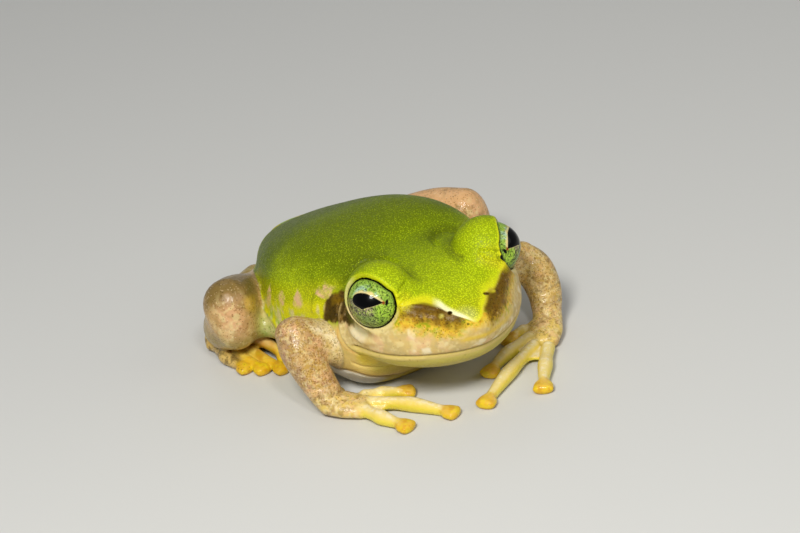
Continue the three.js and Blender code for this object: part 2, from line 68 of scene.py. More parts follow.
HEAD_ANGLES = [0, 40, 80, 120, 180]
HEAD_LINES = [  # reach and height at those angles, from the throat up to the crown
    ([0] * 5, [3.9] * 5),
    ([2.8] * 5, [4] * 5),
    ([5.2, 5, 5.2, 5.5, 5], [4.4, 4.25, 4.3, 4.4, 4.3]),
    ([6.5, 6.15, 6.6, 7.3, 6.6], [5, 4.85, 4.8, 4.8, 4.7]),
    ([7.2, 6.8, 7.3, 8.1, 7], [5.65, 5.5, 5.4, 5.3, 5.2]),
    ([7.5, 7.1, 7.65, 8.5, 7.2], [6.4, 6.3, 6.15, 6, 5.8]),
    ([7.95, 7.4, 7.95, 8.7, 7.3], [7.1, 7, 6.9, 6.9, 6.8]),
    ([8.3, 7.45, 8, 8.6, 7.3], [8, 7.9, 7.8, 7.8, 7.7]),
    ([8.4, 7.2, 7.7, 8.3, 7.2], [9, 9, 9.1, 9.2, 9]),
    ([7.9, 6.8, 6.8, 7.6, 6.8], [9.85, 10.3, 10.8, 10.6, 10.4]),
    ([6.6, 5.8, 5.8, 6.4, 5.8], [10.45, 10.95, 11.6, 11.6, 11.6]),
    ([3.8, 3.7, 3.7, 3.8, 3.8], [11.2, 11.6, 12, 12.2, 12.3]),
    ([0] * 5, [12.1] * 5),
]
LOWER_LIP, UPPER_LIP = HEAD_LINES[5], HEAD_LINES[6]

# Stations are [x, y, z, half width, half height].
ARMS = {
    "right": {
        "upper": [[-5.6, -7.5, 3.2, 2.4, 2.4], [-8.6, -7.9, 5.3, 2, 2], [-11.6, -7.2, 7, 1.75, 1.8]],
        "fore": [[-12, -6.9, 7.3, 1.6, 1.6], [-12, -7.9, 5.9, 1.85, 1.85],
                 [-11.6, -9.1, 3.7, 1.7, 1.65], [-11.2, -10.3, 1.9, 1.5, 1.35]],
        "hand": [[-11.1, -10.4, 1.15, 1.45, 1.15], [-10.1, -11.5, 0.9, 1.7, 1], [-9, -12.7, 0.7, 1.6, 0.8]],
        "fingers": [[[-9.9, -10.3, 0.9], [-9.6, -9.2, 0.7], [-9.3, -7.9, 0.42]],
                    [[-8, -11.5, 0.9], [-6, -12.2, 0.7], [-3.85, -13.1, 0.42]],
                    [[-8.1, -12.9, 0.8], [-5.9, -15.1, 0.75], [-3.2, -19.5, 0.42]],
                    [[-9.3, -13.4, 0.8], [-8.8, -15.4, 0.7], [-7.6, -18.65, 0.42]]],
    },
    "left": {
        "upper": [[5.6, -7.6, 3.6, 2.2, 2.2], [8.8, -8.2, 5, 1.95, 1.95], [11.5, -8.4, 6.2, 1.7, 1.7]],
        "fore": [[11.9, -8.5, 6.5, 1.6, 1.6], [12.7, -9.3, 5.3, 1.8, 1.8],
                 [12.8, -10.5, 3.5, 1.7, 1.6], [12.2, -11.6, 1.9, 1.45, 1.3]],
        "hand": [[12, -11.9, 1.15, 1.4, 1.15], [10.8, -13.2, 0.9, 1.65, 1], [9.6, -14.4, 0.7, 1.6, 0.8]],
        "fingers": [[[10.2, -12, 0.9], [8.6, -11.6, 0.7], [7.2, -11.9, 0.42]],
                    [[8.8, -13.4, 0.9], [5.75, -14.1, 0.7], [2.7, -15.6, 0.42]],
                    [[8.4, -14.8, 0.8], [3.9, -17.3, 0.75], [-0.6, -20.1, 0.42]],
                    [[9.2, -16, 0.8], [6.8, -19, 0.7], [4.75, -21.7, 0.42]]],
    },
}
SHANK_ENDS = [[10.7, 11.2, 2.5, 1.7, 1.6], [6, 15.4, 2, 1.3, 1.3]]
LEGS = {  # x grows away from the middle on both sides
    "right": {
        "thigh": [[3.2, 12, 2.8, 2.4, 2.3], [8.4, 8.8, 3.6, 2.5, 2.4], [12, 5.6, 5.7, 2.5, 2.5],
                  [13.4, 4, 6.5, 2.5, 2.5]],
        "shank": [[13.2, 3.7, 4, 2.05, 2.05], [13.5, 6.4, 3, 1.9, 1.9], *SHANK_ENDS],
    },
    "left": {
        "thigh": [[3.2, 13, 3.6, 2.4, 2.3], [8.2, 10.2, 4.6, 2.5, 2.4], [11.6, 7.2, 5.8, 2.4, 2.3],
                  [13.4, 4.6, 6.3, 2.1, 2.1]],
        "shank": [[13.7, 4.2, 4.6, 1.8, 1.9], [13.7, 6.6, 3.2, 1.9, 1.9], *SHANK_ENDS],
    },
}
FOOT = [[6.4, 15.8, 0.9, 1.1, 0.9], [10, 12.6, 0.9, 1.1, 0.9], [12.9, 9.4, 0.85, 1.5, 0.8],
        [13.3, 7.9, 0.7, 1.7, 0.7]]
TOES = [[[11.8, 8.8, 0.8], [10.4, 7.4, 0.7], [9.6, 5.4, 0.42]],
        [[12, 7.4, 1], [10.9, 4.2, 1.75], [9.85, 0.5, 0.45]],
        [[12.5, 7.6, 0.7], [12, 3.4, 0.8], [11.1, -0.9, 0.42]],
        [[13.2, 7.6, 0.7], [13.1, 4.2, 0.7], [12.5, 0.4, 0.42]],
        [[14, 7.9, 0.7], [14.2, 5, 0.6], [13.6, 1.8, 0.42]]]
SHAFT, KNUCKLE, NECK, DISC, DISC_HEIGHT, DISC_LENGTH = 0.6, 0.72, 0.52, 0.98, 0.52, 1.5
TOE_SIZE = 0.95
WEB_THICKNESS, WEB_SAG, FINGER_WEB, TOE_WEB = 0.32, 0.28, 0.3, 0.68
SIDES = (("right", -1), ("left", 1))


# ---- curves and rings
def track(keys, values, x):
    """A smooth curve through (keys[i], values[i]), level beyond both ends."""
    keys, values = np.asarray(keys, float), np.asarray(values, float)
    x = np.clip(np.asarray(x, float), keys[0], keys[-1])
    i = np.clip(np.searchsorted(keys, x, side="right") - 1, 0, len(keys) - 2)
    slope = lambda a, b: (values[b] - values[a]) / (keys[b] - keys[a])
    width = keys[i + 1] - keys[i]
    start = slope(np.maximum(i - 1, 0), i + 1) * width
    end = slope(i, np.minimum(i + 2, len(keys) - 1)) * width
    t = (x - keys[i]) / width
    rise = t * t * (3 - 2 * t)
    return values[i] * (1 - rise) + values[i + 1] * rise + start * t * (1 - t) ** 2 - end * t * t * (1 - t)


def step(low, high, x):
    """0 below `low` and 1 above `high`, smooth between them."""
    t = np.clip((x - low) / (high - low), 0, 1)
    return t * t * (3 - 2 * t)


def fade(low, high, x):
    """1 below `low` and 0 above `high`."""
    return 1 - step(low, high, x)


def bell(x, width):
    """1 at 0, fading to nothing within about two widths."""
    return np.exp(-(x / width) ** 2)


def length(vectors):
    return np.linalg.norm(vectors, axis=-1)


def unit(vectors):
    return vectors / np.maximum(length(vectors), 1e-9)[..., None]


def spline(points, t, even=False):
    """Points at shares t of a curve through the given points. `even` spaces its spans alike."""
    p = np.asarray(points, float)
    p = np.vstack([2 * p[0] - p[1], p, 2 * p[-1] - p[-2]])
    s = np.clip(np.atleast_1d(np.asarray(t, float)), 0, 1) * (len(p) - 3)
    i = np.minimum(s.astype(int), len(p) - 4)
    w = (s - i)[:, None]
    a, b, c, d = p[i], p[i + 1], p[i + 2], p[i + 3]

    def gap(u, v):
        return np.ones((len(u), 1)) if even else np.maximum(np.sqrt(length(v - u)), 1e-6)[:, None]

    g0, g1, g2 = gap(a, b), gap(b, c), gap(c, d)
    m1 = ((b - a) / g0 - (c - a) / (g0 + g1) + (c - b) / g1) * g1
    m2 = ((c - b) / g1 - (d - b) / (g1 + g2) + (d - c) / g2) * g1
    return b + w * m1 + w ** 2 * (3 * (c - b) - 2 * m1 - m2) + w ** 3 * (2 * (b - c) + m1 + m2)


def at_length(points, shares):
    """Points at shares of the curve's length, and that length."""
    t = np.linspace(0, 1, 201)
    along = np.concatenate([[0], np.cumsum(length(np.diff(spline(points, t), axis=0)))])
    return spline(points, np.interp(np.asarray(shares) * along[-1], along, t)), along[-1]


def triangles(*corners):
    return np.stack(np.broadcast_arrays(*corners), 1)


def skin_rings(rings, first, last):
    """Points and triangles of a closed form over rings (ring, corner, xyz) with a point at each end."""
    count, sides = rings.shape[:2]
    points = np.vstack([[first], rings.reshape(-1, 3), [last]])
    k = np.arange(sides)
    after = (k + 1) % sides
    top = 1 + (count - 1) * sides
    faces = [triangles(0, 1 + after, 1 + k), triangles(len(points) - 1, top + k, top + after)]
    for a in range(1, top, sides):
        b = a + sides
        faces += [triangles(a + k, a + after, b + after), triangles(a + k, b + after, b + k)]
    return points, np.vstack(faces)


def outward(points, faces):
    """The faces of a closed form, turned so that they look out."""
    a, b, c = (points[faces[:, i]] for i in range(3))
    return faces[:, ::-1] if np.einsum("ij,ij->i", a, np.cross(b, c)).sum() < 0 else faces


CAP_RINGS, CAP_DEPTH = 7, 0.9  # a limb's rounded end: its rings, and its depth over the half width


def limb(stations, up=(0, 0, 1), sides=28, steps=44):
    """A rounded limb swept along its stations."""
    stations = np.asarray(stations, float)
    t = np.pad(np.linspace(0, 1, steps + 1), CAP_RINGS, "edge")
    centre, size = spline(stations[:, :3], t), spline(stations[:, 3:5], t, even=True)
    tangent = unit(spline(stations[:, :3], t + 1e-3) - spline(stations[:, :3], t - 1e-3))
    across = unit(np.cross(tangent, up))
    upward = np.cross(across, tangent)
    caps = np.linspace(1.45, 0.15, CAP_RINGS)
    lean = np.concatenate([-caps, np.zeros(steps + 1), caps[::-1]])
    centre = centre + tangent * (CAP_DEPTH * size.min(axis=1) * np.sin(lean))[:, None]
    size = size * np.cos(lean)[:, None]
    angle = 2 * np.pi * (np.arange(sides) + 0.5) / sides
    rings = (centre[:, None] + across[:, None] * (size[:, :1] * np.cos(angle))[..., None]
             + upward[:, None] * (size[:, 1:] * np.sin(angle))[..., None])
    return skin_rings(rings, centre[0] - tangent[0] * 0.01, centre[-1] + tangent[-1] * 0.01)


def bend(y):
    return track(BEND_Y, BEND_SHIFT, y)


def torso():
    cap, steps, sides = 8, 110, 120
    y = np.pad(np.linspace(TORSO["y"][0], TORSO["y"][-1], steps), cap, "edge")
    lean = np.concatenate([np.linspace(-1.5, -0.1, cap), np.zeros(steps), np.linspace(0.1, 1.5, cap)])
    at = {name: track(TORSO["y"], TORSO[name], y)[:, None] for name in TORSO if name != "y"}
    angle = 2 * np.pi * np.arange(sides) / sides
    above = np.sin(angle) > 0
    power = np.where(above, 2 / BACK_SQUARENESS, 2 / BELLY_SQUARENESS)
    curve = lambda value: np.sign(value) * np.abs(value) ** power
    shrink = np.cos(lean)[:, None]
    reach = np.where(above, at["back"] - at["middle"], at["middle"] - at["belly"])
    x = bend(y)[:, None] + at["width"] * curve(np.cos(angle)) * shrink
    z = at["middle"] + reach * curve(np.sin(angle)) * shrink
    depth = np.where(lean < 0, 0.6, 1.1) * np.sin(lean)
    rings = np.stack([x, np.broadcast_to((y + depth)[:, None], x.shape), z], 2)
    return skin_rings(rings, rings[0].mean(axis=0), rings[-1].mean(axis=0))


def head():
    degrees = np.arange(144) * 2.5
    away = np.abs((degrees + 180) % 360 - 180)
    lines = [np.concatenate([track(HEAD_ANGLES, values, away) for values in line]) for line in HEAD_LINES]
    reach, height = np.split(spline(lines, np.linspace(0.02, 0.98, 90), even=True), 2, axis=1)
    angle = np.radians(degrees)
    rings = np.stack([np.sin(angle) * reach, HEAD_AXIS_Y - np.cos(angle) * reach, height], 2)
    return skin_rings(rings, *([0, HEAD_AXIS_Y, HEAD_LINES[end][1][0]] for end in (0, -1)))


def digit(points, size):
    """A finger or toe: a slim shaft with a knuckle, and a flat disc at its end."""
    disc = DISC_LENGTH * size / at_length(points, 0)[1]
    shares = [s * (1 - disc) for s in (0, 0.3, 0.55, 0.8, 1)] + [1 - 0.6 * disc, 1 - 0.15 * disc]
    widths = np.array([1.1 * SHAFT, SHAFT, KNUCKLE, SHAFT, NECK, 0.9 * DISC, DISC])
    heights = np.minimum(widths, [1] * 5 + [DISC_HEIGHT] * 2)
    stations = np.column_stack([at_length(points, shares)[0], widths * size, heights * size])
    return limb(stations, sides=20, steps=40)


def web(first, second, reach):
    """A thin skin between two digits whose free edge hangs back between them."""
    rows, columns = 9, 11
    u = np.linspace(0, 1, columns)
    middle = []
    for share in reach * np.linspace(0, 1, rows):
        along = np.maximum(share - 4 * u * (1 - u) * (share * WEB_SAG), 0)
        start, end = at_length(first, along)[0], at_length(second, along)[0]
        middle.append(start + (end - start) * u[:, None])
    middle = np.array(middle)
    half = WEB_THICKNESS / 2
    middle[..., 2] = np.maximum(middle[..., 2] - 0.15, half + 0.1)
    points = np.vstack([(middle + [0, 0, dz]).reshape(-1, 3) for dz in (half, -half)])
    lower = rows * columns
    at = np.arange(lower).reshape(rows, columns)
    a, b, c, d = (part.ravel() for part in (at[:-1, :-1], at[:-1, 1:], at[1:, 1:], at[1:, :-1]))
    rim = np.concatenate([at[0], at[1:, -1], at[-1, -2::-1], at[-2:0:-1, 0]])
    after = np.roll(rim, -1)
    return points, np.vstack([
        triangles(a, b, c), triangles(a, c, d), lower + triangles(a, c, b), lower + triangles(a, d, c),
        triangles(after, rim, lower + rim), triangles(after, lower + rim, lower + after)])


# ---- fields of distance
SPACE = vdb.createLinearTransform(voxelSize=VOXEL)
FIRST = np.floor(LOW / VOXEL).astype(int)
SHAPE = tuple(np.ceil(HIGH / VOXEL).astype(int) - FIRST)


def empty():
    return np.full(SHAPE, BAND, np.float32)


def distances(form):
    """The distance to a closed form round it, and where that block lies in a field."""
    points, faces = form
    grid = vdb.FloatGrid.createLevelSetFromPolygons(
        np.ascontiguousarray(points, np.float32), transform=SPACE, halfWidth=BAND / VOXEL,
        triangles=np.ascontiguousarray(outward(points, faces), np.uint32))
    low, high = grid.evalActiveVoxelBoundingBox()
    low = np.maximum(np.array(low), FIRST)
    high = np.minimum(np.array(high) + 1, FIRST + SHAPE)
    values = np.full(tuple(high - low), BAND, np.float32)
    grid.copyToArray(values, ijk=tuple(int(v) for v in low))
    return values, tuple(slice(a, b) for a, b in zip(low - FIRST, high - FIRST))


def soft_min(a, b, softness):
    gap = np.clip(softness - np.abs(a - b), 0, None) * (np.minimum(a, b) < 0.95 * BAND)
    return np.minimum(a, b) - gap * gap / (4 * np.maximum(softness, 1e-6))


def soft_max(a, b, softness):
    return -soft_min(-a, -b, softness)


def add(field, form, softness):
    values, block = distances(form)
    field[block] = soft_min(field[block], values, softness)


def block_near(points, margin):
    """The block of a field round the points, and the places of its voxels."""
    points = np.atleast_2d(points)
    low = np.clip(np.floor((points.min(0) - margin) / VOXEL).astype(int) - FIRST, 0, SHAPE)
    high = np.clip(np.ceil((points.max(0) + margin) / VOXEL).astype(int) - FIRST + 1, 0, SHAPE)
    axes = [(np.arange(a, b) + f) * VOXEL for a, b, f in zip(low, high, FIRST)]
    return tuple(slice(a, b) for a, b in zip(low, high)), np.stack(np.meshgrid(*axes, indexing="ij"), -1)


def to_line(places, points, radii=0):
    """The distance from places to a line through points, less its radius there."""
    best = None
    radii = np.broadcast_to(radii, len(points))
    for a, b, ra, rb in zip(points[:-1], points[1:], radii[:-1], radii[1:]):
        way = b - a
        t = np.clip(((places - a) @ way) / max(way @ way, 1e-9), 0, 1)
        d = length(places - a - t[..., None] * way) - (ra + (rb - ra) * t)
        best = d if best is None else np.minimum(best, d)
    return best


def ridge(field, points, radii, softness, count=24):
    """Raises a fold along a line. A negative softness cuts a crease there instead."""
    t = np.linspace(0, 1, count)
    line = spline(points, t)
    size = np.interp(t, np.linspace(0, 1, len(points)), np.broadcast_to(radii, len(points)))
    block, places = block_near(line, max(size) + abs(softness) + 3 * VOXEL)
    d = to_line(places, line, size)
    cut = softness < 0
    field[block] = soft_max(field[block], -d, -softness) if cut else soft_min(field[block], d, softness)


def cell_corners(i, f):
    """The eight corners of the cells i, each with its weight at the places f inside them."""
    for corner in np.ndindex(2, 2, 2):
        yield (i + corner).T, np.prod(np.where(np.array(corner) == 1, f, 1 - f), axis=1)


def sample(field, points):
    """The field's value at points, between its voxels."""
    q = points / VOXEL - FIRST
    i = np.clip(np.floor(q).astype(int), 0, np.array(SHAPE) - 2)
    return sum(weight * field[tuple(corner)] for corner, weight in cell_corners(i, q - i))


def snap(field, points, depth=0):
    """Points moved onto a field's surface, or `depth` below it."""
    points = np.array(points, float)
    for _ in range(6):
        slope = np.stack([sample(field, points + e) - sample(field, points - e) for e in VOXEL * np.eye(3)],
                         1) / (2 * VOXEL)
        lift = (sample(field, points) + depth) / np.maximum((slope ** 2).sum(1), 0.1)
        points = points - slope * lift[:, None]
    return points


def eye_frame(side, outward_by=EYE_OUTWARD, upward_by=EYE_UPWARD):
    """The axis that leaves an eye by those degrees from straight ahead and from level, the way towards
    the snout and the way up, all square to each other."""
    out, rise = math.radians(outward_by), math.radians(upward_by)
    axis = np.array([side * math.sin(out) * math.cos(rise), -math.cos(out) * math.cos(rise), math.sin(rise)])
    forward = unit(np.cross(axis, [0, 0, 1]) * side)
    return axis, forward, np.cross(forward, axis) * side


def mirrored(point, side):
    return np.array([point[0] * side, *point[1:]])


# ---- the body's form
def head_place(places):
    """The angle from the snout, in degrees, and the distance from the head's axis."""
    x, y = np.abs(places[..., 0]), places[..., 1] - HEAD_AXIS_Y
    return np.degrees(np.arctan2(x, -y)), np.hypot(x, y)


MOUTH_BOX = np.array([[-9, -22, 5.5], [9, -9, 7.5]])
MOUTH_SHARE = 0.4  # where the mouth lies between the lower and the upper lip
MOUTH_RADIUS, MOUTH_FLATNESS = 0.11, 1.7


def between_lips(part, angle):
    low, high = track(HEAD_ANGLES, LOWER_LIP[part], angle), track(HEAD_ANGLES, UPPER_LIP[part], angle)
    return low + MOUTH_SHARE * (high - low)


def mouth_height(angle):
    return between_lips(1, angle)


def carve_mouth(body):
    block, places = block_near(MOUTH_BOX, 0)
    angle, reach = head_place(places)
    shown = fade(96, 107, angle)
    off = np.hypot((reach - between_lips(0, angle)) / MOUTH_FLATNESS, places[..., 2] - mouth_height(angle))
    body[block] = np.where(shown > 0, soft_max(body[block], MOUTH_RADIUS * shown - off, 0.14), body[block])


# Degrees from an eye's axis to the edge of its lids, by the way round it: 0 is towards the snout, 90 up.
LID_WAYS = [-180, -130, -90, -65, -43, -25, -10, 5, 18, 28, 40, 52, 70, 90, 110, 140, 180]
LID_EDGES = [59, 59.5, 59, 61.5, 65, 67, 68.5, 68, 67, 66, 60.5, 58, 57, 57.5, 60.5, 60.5, 59.5]
LID_RADIUS, LID_OFFSET, LID_BEVEL = 0.13, 0.07, 0.9


def lid_angle(forward, up):
    return track(LID_WAYS, LID_EDGES, np.degrees(np.arctan2(up, forward)))


def past_lids(away, side):
    """How many degrees places lie outside the lids' edge, and how far forward and up from the eye."""
    axis, forward, up = eye_frame(side)
    front, high = away @ forward, away @ up
    return np.degrees(np.arctan2(np.hypot(front, high), away @ axis)) - lid_angle(front, high), front, high


def dome_distance(places, side):
    middle = EYES[side] - DOME_BACK * eye_frame(side)[0] + [0, 0, DOME_RISES[side]]
    return length(places - middle) - DOME_RADIUS


def shape_eye(body, side):
    """The brow dome, the thin lids that hug the ball and the opening between them."""
    axis, forward, up = eye_frame(side)
    block, places = block_near(EYES[side], 5)
    away = places - EYES[side]
    # The dome runs smoothly into the snout and meets the crown more sharply.
    ahead = fade(-2.4, 0.2, away[..., 1])
    after = soft_min(body[block], dome_distance(places, side), 0.35 + 1.35 * ahead)
    depth, along_front, along_up = away @ axis, away @ forward, away @ up
    across = np.hypot(along_front, along_up)
    far = np.hypot(depth, across)
    edge = np.radians(lid_angle(along_front, along_up))
    rim = np.hypot((np.arctan2(across, depth) - edge - 0.06) * far, far - EYE_RADIUS - LID_OFFSET) - LID_RADIUS
    after = soft_min(after, rim, 0.35)
    start = (EYE_RADIUS + 0.03) * np.sin(edge)
    opening = np.maximum(across - start - LID_BEVEL * np.maximum(far - EYE_RADIUS, 0), 0.3 - depth)
    after = soft_max(after, -0.74 * opening, 0.1)
    body[block] = np.maximum(after, EYE_RADIUS + 0.04 - far)


# Lines on the frog's left side, mirrored for the right and laid onto the skin: points, then radii.
FOLDS = {
    "over_eardrum": ([[6.6, -10.7, 11.3], [7.6, -8.6, 10.6], [8.5, -6.4, 9.7], [8.9, -6, 8.2]],
                     [0.3, 0.45, 0.45, 0.2]),
    "behind_cheek": ([[7.85, -9.3, 9.6], [8.2, -9.45, 8.9], [8.5, -9.95, 7.9], [8.5, -10.35, 7],
                      [8.2, -10.95, 6.1], [8, -12, 5.95]], [0.1, 0.2, 0.26, 0.22, 0.16, 0.1]),
    "under_eye": ([[8.2, -10.9, 8.6], [8.2, -11.9, 7.8], [7.7, -13.4, 7.5], [7, -15.2, 7.8]],
                  [0.1, 0.3, 0.35, 0.1]),
    "lower_lip": ([[8.1, -11.5, 5.75], [7.85, -13.3, 5.85], [7.1, -16.2, 5.9], [5.4, -18.6, 5.95]],
                  [0.1, 0.16, 0.14, 0.08]),
    "eardrum": ([[8.3, -7.9, 9.9], [8.75, -7.6, 9], [8.8, -8.3, 8.2], [8.4, -9.2, 8.6]],
                [0.12, 0.16, 0.16, 0.1]),
    "canthus": ([[5.2, -16.2, 11.2], [4.3, -17, 11], [2.9, -18.7, 10.7], [2, -19.9, 10.2],
                 [1, -20.7, 9.8]], [0.2, 0.16, 0.14, 0.12, 0.08]),
}
CREASES = {
    "behind_cheek": ([[7.9, -8.9, 10.1], [8.35, -9.1, 8.9], [8.7, -9.6, 7.8], [8.65, -10.1, 6.8],
                      [8.3, -10.8, 5.9], [7.9, -11.6, 5.5]], 0.15),
    "throat": ([[8.7, -8.6, 2.8], [8.3, -10.2, 2.95], [7.4, -10.75, 2.6], [6.3, -10.95, 2.1],
                [4.4, -11, 1.5]], 0.15),
    "gullet": ([[8.3, -10.7, 4.2], [7, -11.8, 3.5], [5, -12.6, 3]], 0.07),
    "brow": ([[3.9, -15.3, 12.6], [4.6, -15.8, 12.5], [5.2, -16, 12.2]], 0.2),
    "low_brow": ([[4.2, -15.7, 12.1], [4.8, -16.1, 11.9], [5.3, -16.2, 11.5]], 0.16),
    "behind_dome": ([[6.4, -8.8, 11], [5.2, -7.7, 11.4], [3.9, -7.7, 11.8], [2.7, -8.8, 11.9],
                     [2.2, -10.6, 11.9]], 0.25),
}
# The hole and the raised rim before it, on each side.
NOSTRILS = {-1: ([-2.3, -19.42, 10.3], [-3, -19.1, 10.1]), 1: ([1.85, -19.1, 10.6], [2.5, -19.35, 10.4])}
NOSTRIL_RIMS = {-1: 0.34, 1: 0.16}
WRISTS = {
    "right": [[[-12.4, -10.7, 2.3], [-11.8, -11.4, 2.24], [-10.9, -11.46, 2.19], [-9.9, -11.1, 1.95]],
              [[-12.5, -10.6, 3.1], [-11.9, -11.1, 3.2], [-11, -11.1, 3.1]]],
    "left": [[[11, -12.2, 2.3], [11.6, -12.45, 2.7], [12.7, -12.5, 2.8], [13.5, -11.9, 2.6]],
             [[10.4, -12.8, 1.85], [11.4, -13.1, 2], [12.2, -13.1, 1.9]],
             [[11.3, -11.4, 4], [12.4, -12, 4.1], [13.6, -11.6, 4]]],
}
# A fold of skin that joins the flank to the knee.
GROIN, GROIN_RADIUS = [[9, 1.6, 3.6], [9.9, 2.9, 3.5], [11, 4.2, 3.6]], 1.1


def make_body():
    trunk = empty()
    add(trunk, torso(), 0.1)
    add(trunk, head(), 1.3)
    body = trunk.copy()
    for _, side in SIDES:
        shape_eye(body, side)
        mirror = lambda line: [mirrored(p, side) for p in line]
        for line, radii in FOLDS.values():
            ridge(body, snap(trunk, mirror(line), 0.1), radii, 0.35)
        for line, radius in CREASES.values():
            ridge(body, snap(body, mirror(line)), radius, -0.22)
        hole, rim = (np.array(point) for point in NOSTRILS[side])
        ridge(body, [rim, rim + [0.02, 0.05, 0.1]], NOSTRIL_RIMS[side], 0.3, count=3)
        way = mirrored([0.5, -0.5, 0.7], side)
        ridge(body, [hole - 0.5 * way, hole + 0.9 * way], 0.2, -0.1, count=3)
    carve_mouth(body)
    return trunk, body


def leg_line(line, side):
    """A line of a leg on its own side, moved with the bend of the back."""
    return [[p[0] * side + float(bend(p[1])), *p[1:]] for p in line]


def make_limbs():
    arms, legs, digits = empty(), empty(), empty()
    for name, side in SIDES:
        arm = ARMS[name]
        add(arms, limb(arm["upper"]), 0.1)
        add(arms, limb(arm["fore"], up=(0, 1, 0)), 0.4)
        add(arms, limb(arm["hand"]), 0.35)
        for line in WRISTS[name]:
            ridge(arms, snap(arms, line), 0.1, -0.2)
        for line, softness in ((LEGS[name]["thigh"], 0.1), (LEGS[name]["shank"], 1.6), (FOOT, 0.3)):
            add(legs, limb(leg_line(line, side)), softness)
        ridge(legs, [mirrored(p, side) for p in GROIN], GROIN_RADIUS, 1)
        toes = [leg_line(toe, side) for toe in TOES]
        for lines, size, reach in ((arm["fingers"], 1, FINGER_WEB), (toes, TOE_SIZE, TOE_WEB)):
            for line in lines:
                add(digits, digit(line, size), 0.12)
            for first, second in zip(lines, lines[1:]):
                add(digits, web(first, second, reach), 0.25)
    return arms, legs, digits


SMOOTHING = (0.5, -0.52, 0.5, -0.52, 0.5)  # shares of the way to the neighbours' mean, in turn


def gather(places, vectors, count):
    """The sum of the vectors that fall on each place."""
    return np.stack([np.bincount(places, vectors[:, k], count) for k in range(3)], 1)


def surface(field):
    """Corner points and four-sided faces of a field's zero surface, lightly smoothed."""
    grid = vdb.FloatGrid(BAND)
    grid.transform = SPACE
    grid.copyFromArray(field, ijk=tuple(int(v) for v in FIRST))
    points, quads = grid.convertToQuads(0.0)
    points, quads = points.astype(float), quads.astype(int)
    quads, total = outward(points, quads), len(points)
    start, end = quads.T.ravel(), np.roll(quads, -1, axis=1).T.ravel()
    count = np.bincount(start, minlength=total) + np.bincount(end, minlength=total)
    for share in SMOOTHING:
        near_by = gather(start, points[end], total) + gather(end, points[start], total)
        points = points + share * (near_by / np.maximum(count, 1)[:, None] - points)
    return points, quads


def point_normals(points, quads):
    a, b, c, d = (points[quads[:, i]] for i in range(4))
    normal = np.cross(c - a, d - b)
    return unit(sum(gather(quads[:, i], normal, len(points)) for i in range(4)))


# The lattice of random values stands at a slant, so that no blotch is square to the frog.
SLANT = np.array([[0.46, -0.77, 0.44], [0.62, 0.64, 0.46], [-0.64, 0.06, 0.77]])
LATTICE = 32
OCTAVES = ((1, 0.72), (0.43, 0.48))  # size and strength


def noise(points, size, seed):
    """Smooth random values from about 0 to 1 that change over about `size`, with smaller ones on them."""
    lattice = np.random.default_rng(seed).random((LATTICE, LATTICE, LATTICE))
    total = 0
    for part, share in OCTAVES:
        q = points @ SLANT / (size * part) + 5.37 * seed
        i = np.floor(q).astype(int)
        f = q - i
        for corner, weight in cell_corners(i, f * f * (3 - 2 * f)):
            total = total + share * weight * (lattice[tuple(corner % LATTICE)] - 0.5)
    return 0.5 + total


# ---- markings
def colour(red, green, blue):
    """A screen colour (0 to 255) as light."""
    value = np.array([red, green, blue]) / 255
    return np.where(value <= 0.04045, value / 12.92, ((value + 0.055) / 1.055) ** 2.4)


LIME, GREEN, OLIVE = colour(202, 222, 22), colour(138, 160, 4), colour(98, 112, 6)
SHADED_GREEN, SHADE, YELLOW = colour(74, 92, 2), colour(82, 92, 4), colour(226, 214, 24)
CANTHUS, WHITE_LINE = colour(222, 214, 30), colour(255, 252, 196)
BROWN, DARK, RUST = colour(106, 74, 8), colour(50, 38, 10), colour(196, 128, 28)
GOLD, ORANGE, AMBER = colour(222, 186, 50), colour(218, 172, 26), colour(184, 148, 30)
CREAM, PINK, PALE = colour(206, 177, 110), colour(222, 180, 136), colour(226, 208, 148)
WHITE, GREY, STONE = colour(238, 226, 190), colour(188, 168, 112), colour(150, 134, 70)
MAUVE, MUD, TEAL = colour(148, 114, 88), colour(150, 120, 62), colour(120, 180, 84)
LIP, MOUTH, CHIN = colour(214, 190, 116), colour(164, 130, 70), colour(186, 172, 84)
THROAT, PEACH, CHEST = colour(206, 182, 66), colour(214, 186, 112), colour(206, 200, 182)
TAN, TAN_BROWN = colour(200, 162, 100), colour(108, 88, 40)
ROSE, SAND = colour(216, 168, 122), colour(230, 204, 96)

# The face by the angle from the snout, the frog's right below zero: the heights of the line from the
# eye to the nostril, of the foot of the dark band under it and of the lowest gold specks.
FACE_WAYS = [-100, -66, -60, -45, -26, -20, -15, -11, -5, 0, 3, 8, 18, 31, 45, 60, 66, 100]
FACE_HEIGHTS = (
    [10.6, 11.1, 11.25, 11.2, 10.8, 10.45, 10.2, 9.95, 9.5, 9.75, 10.05, 10.25, 10.6, 10.7, 10.85, 11.25, 11.1,
     10.6],
    [10.3, 10.8, 10.7, 10.2, 9.8, 9.6, 9.55, 9.5, 9.4, 9.4, 9.2, 8.9, 9.2, 9.8, 10, 10.4, 10.6, 10.3],
    [10, 9.6, 9.2, 8.9, 8.3, 8.5, 8.7, 8.8, 8.9, 8.9, 8.8, 8.5, 8.6, 8.4, 8.8, 9.5, 9.8, 10])
# Heights and angles of the fold behind the cheek, and x and height of the line between throat and chest.
CHEEK_END = [4, 5.5, 6, 7, 7.9, 8.7, 9.5, 10.3], [96, 100, 104, 107, 110, 113, 114, 112]
CHEST_LINE = [0, 4, 6.5, 8, 9], [1.4, 1.4, 2.1, 2.9, 2.9]
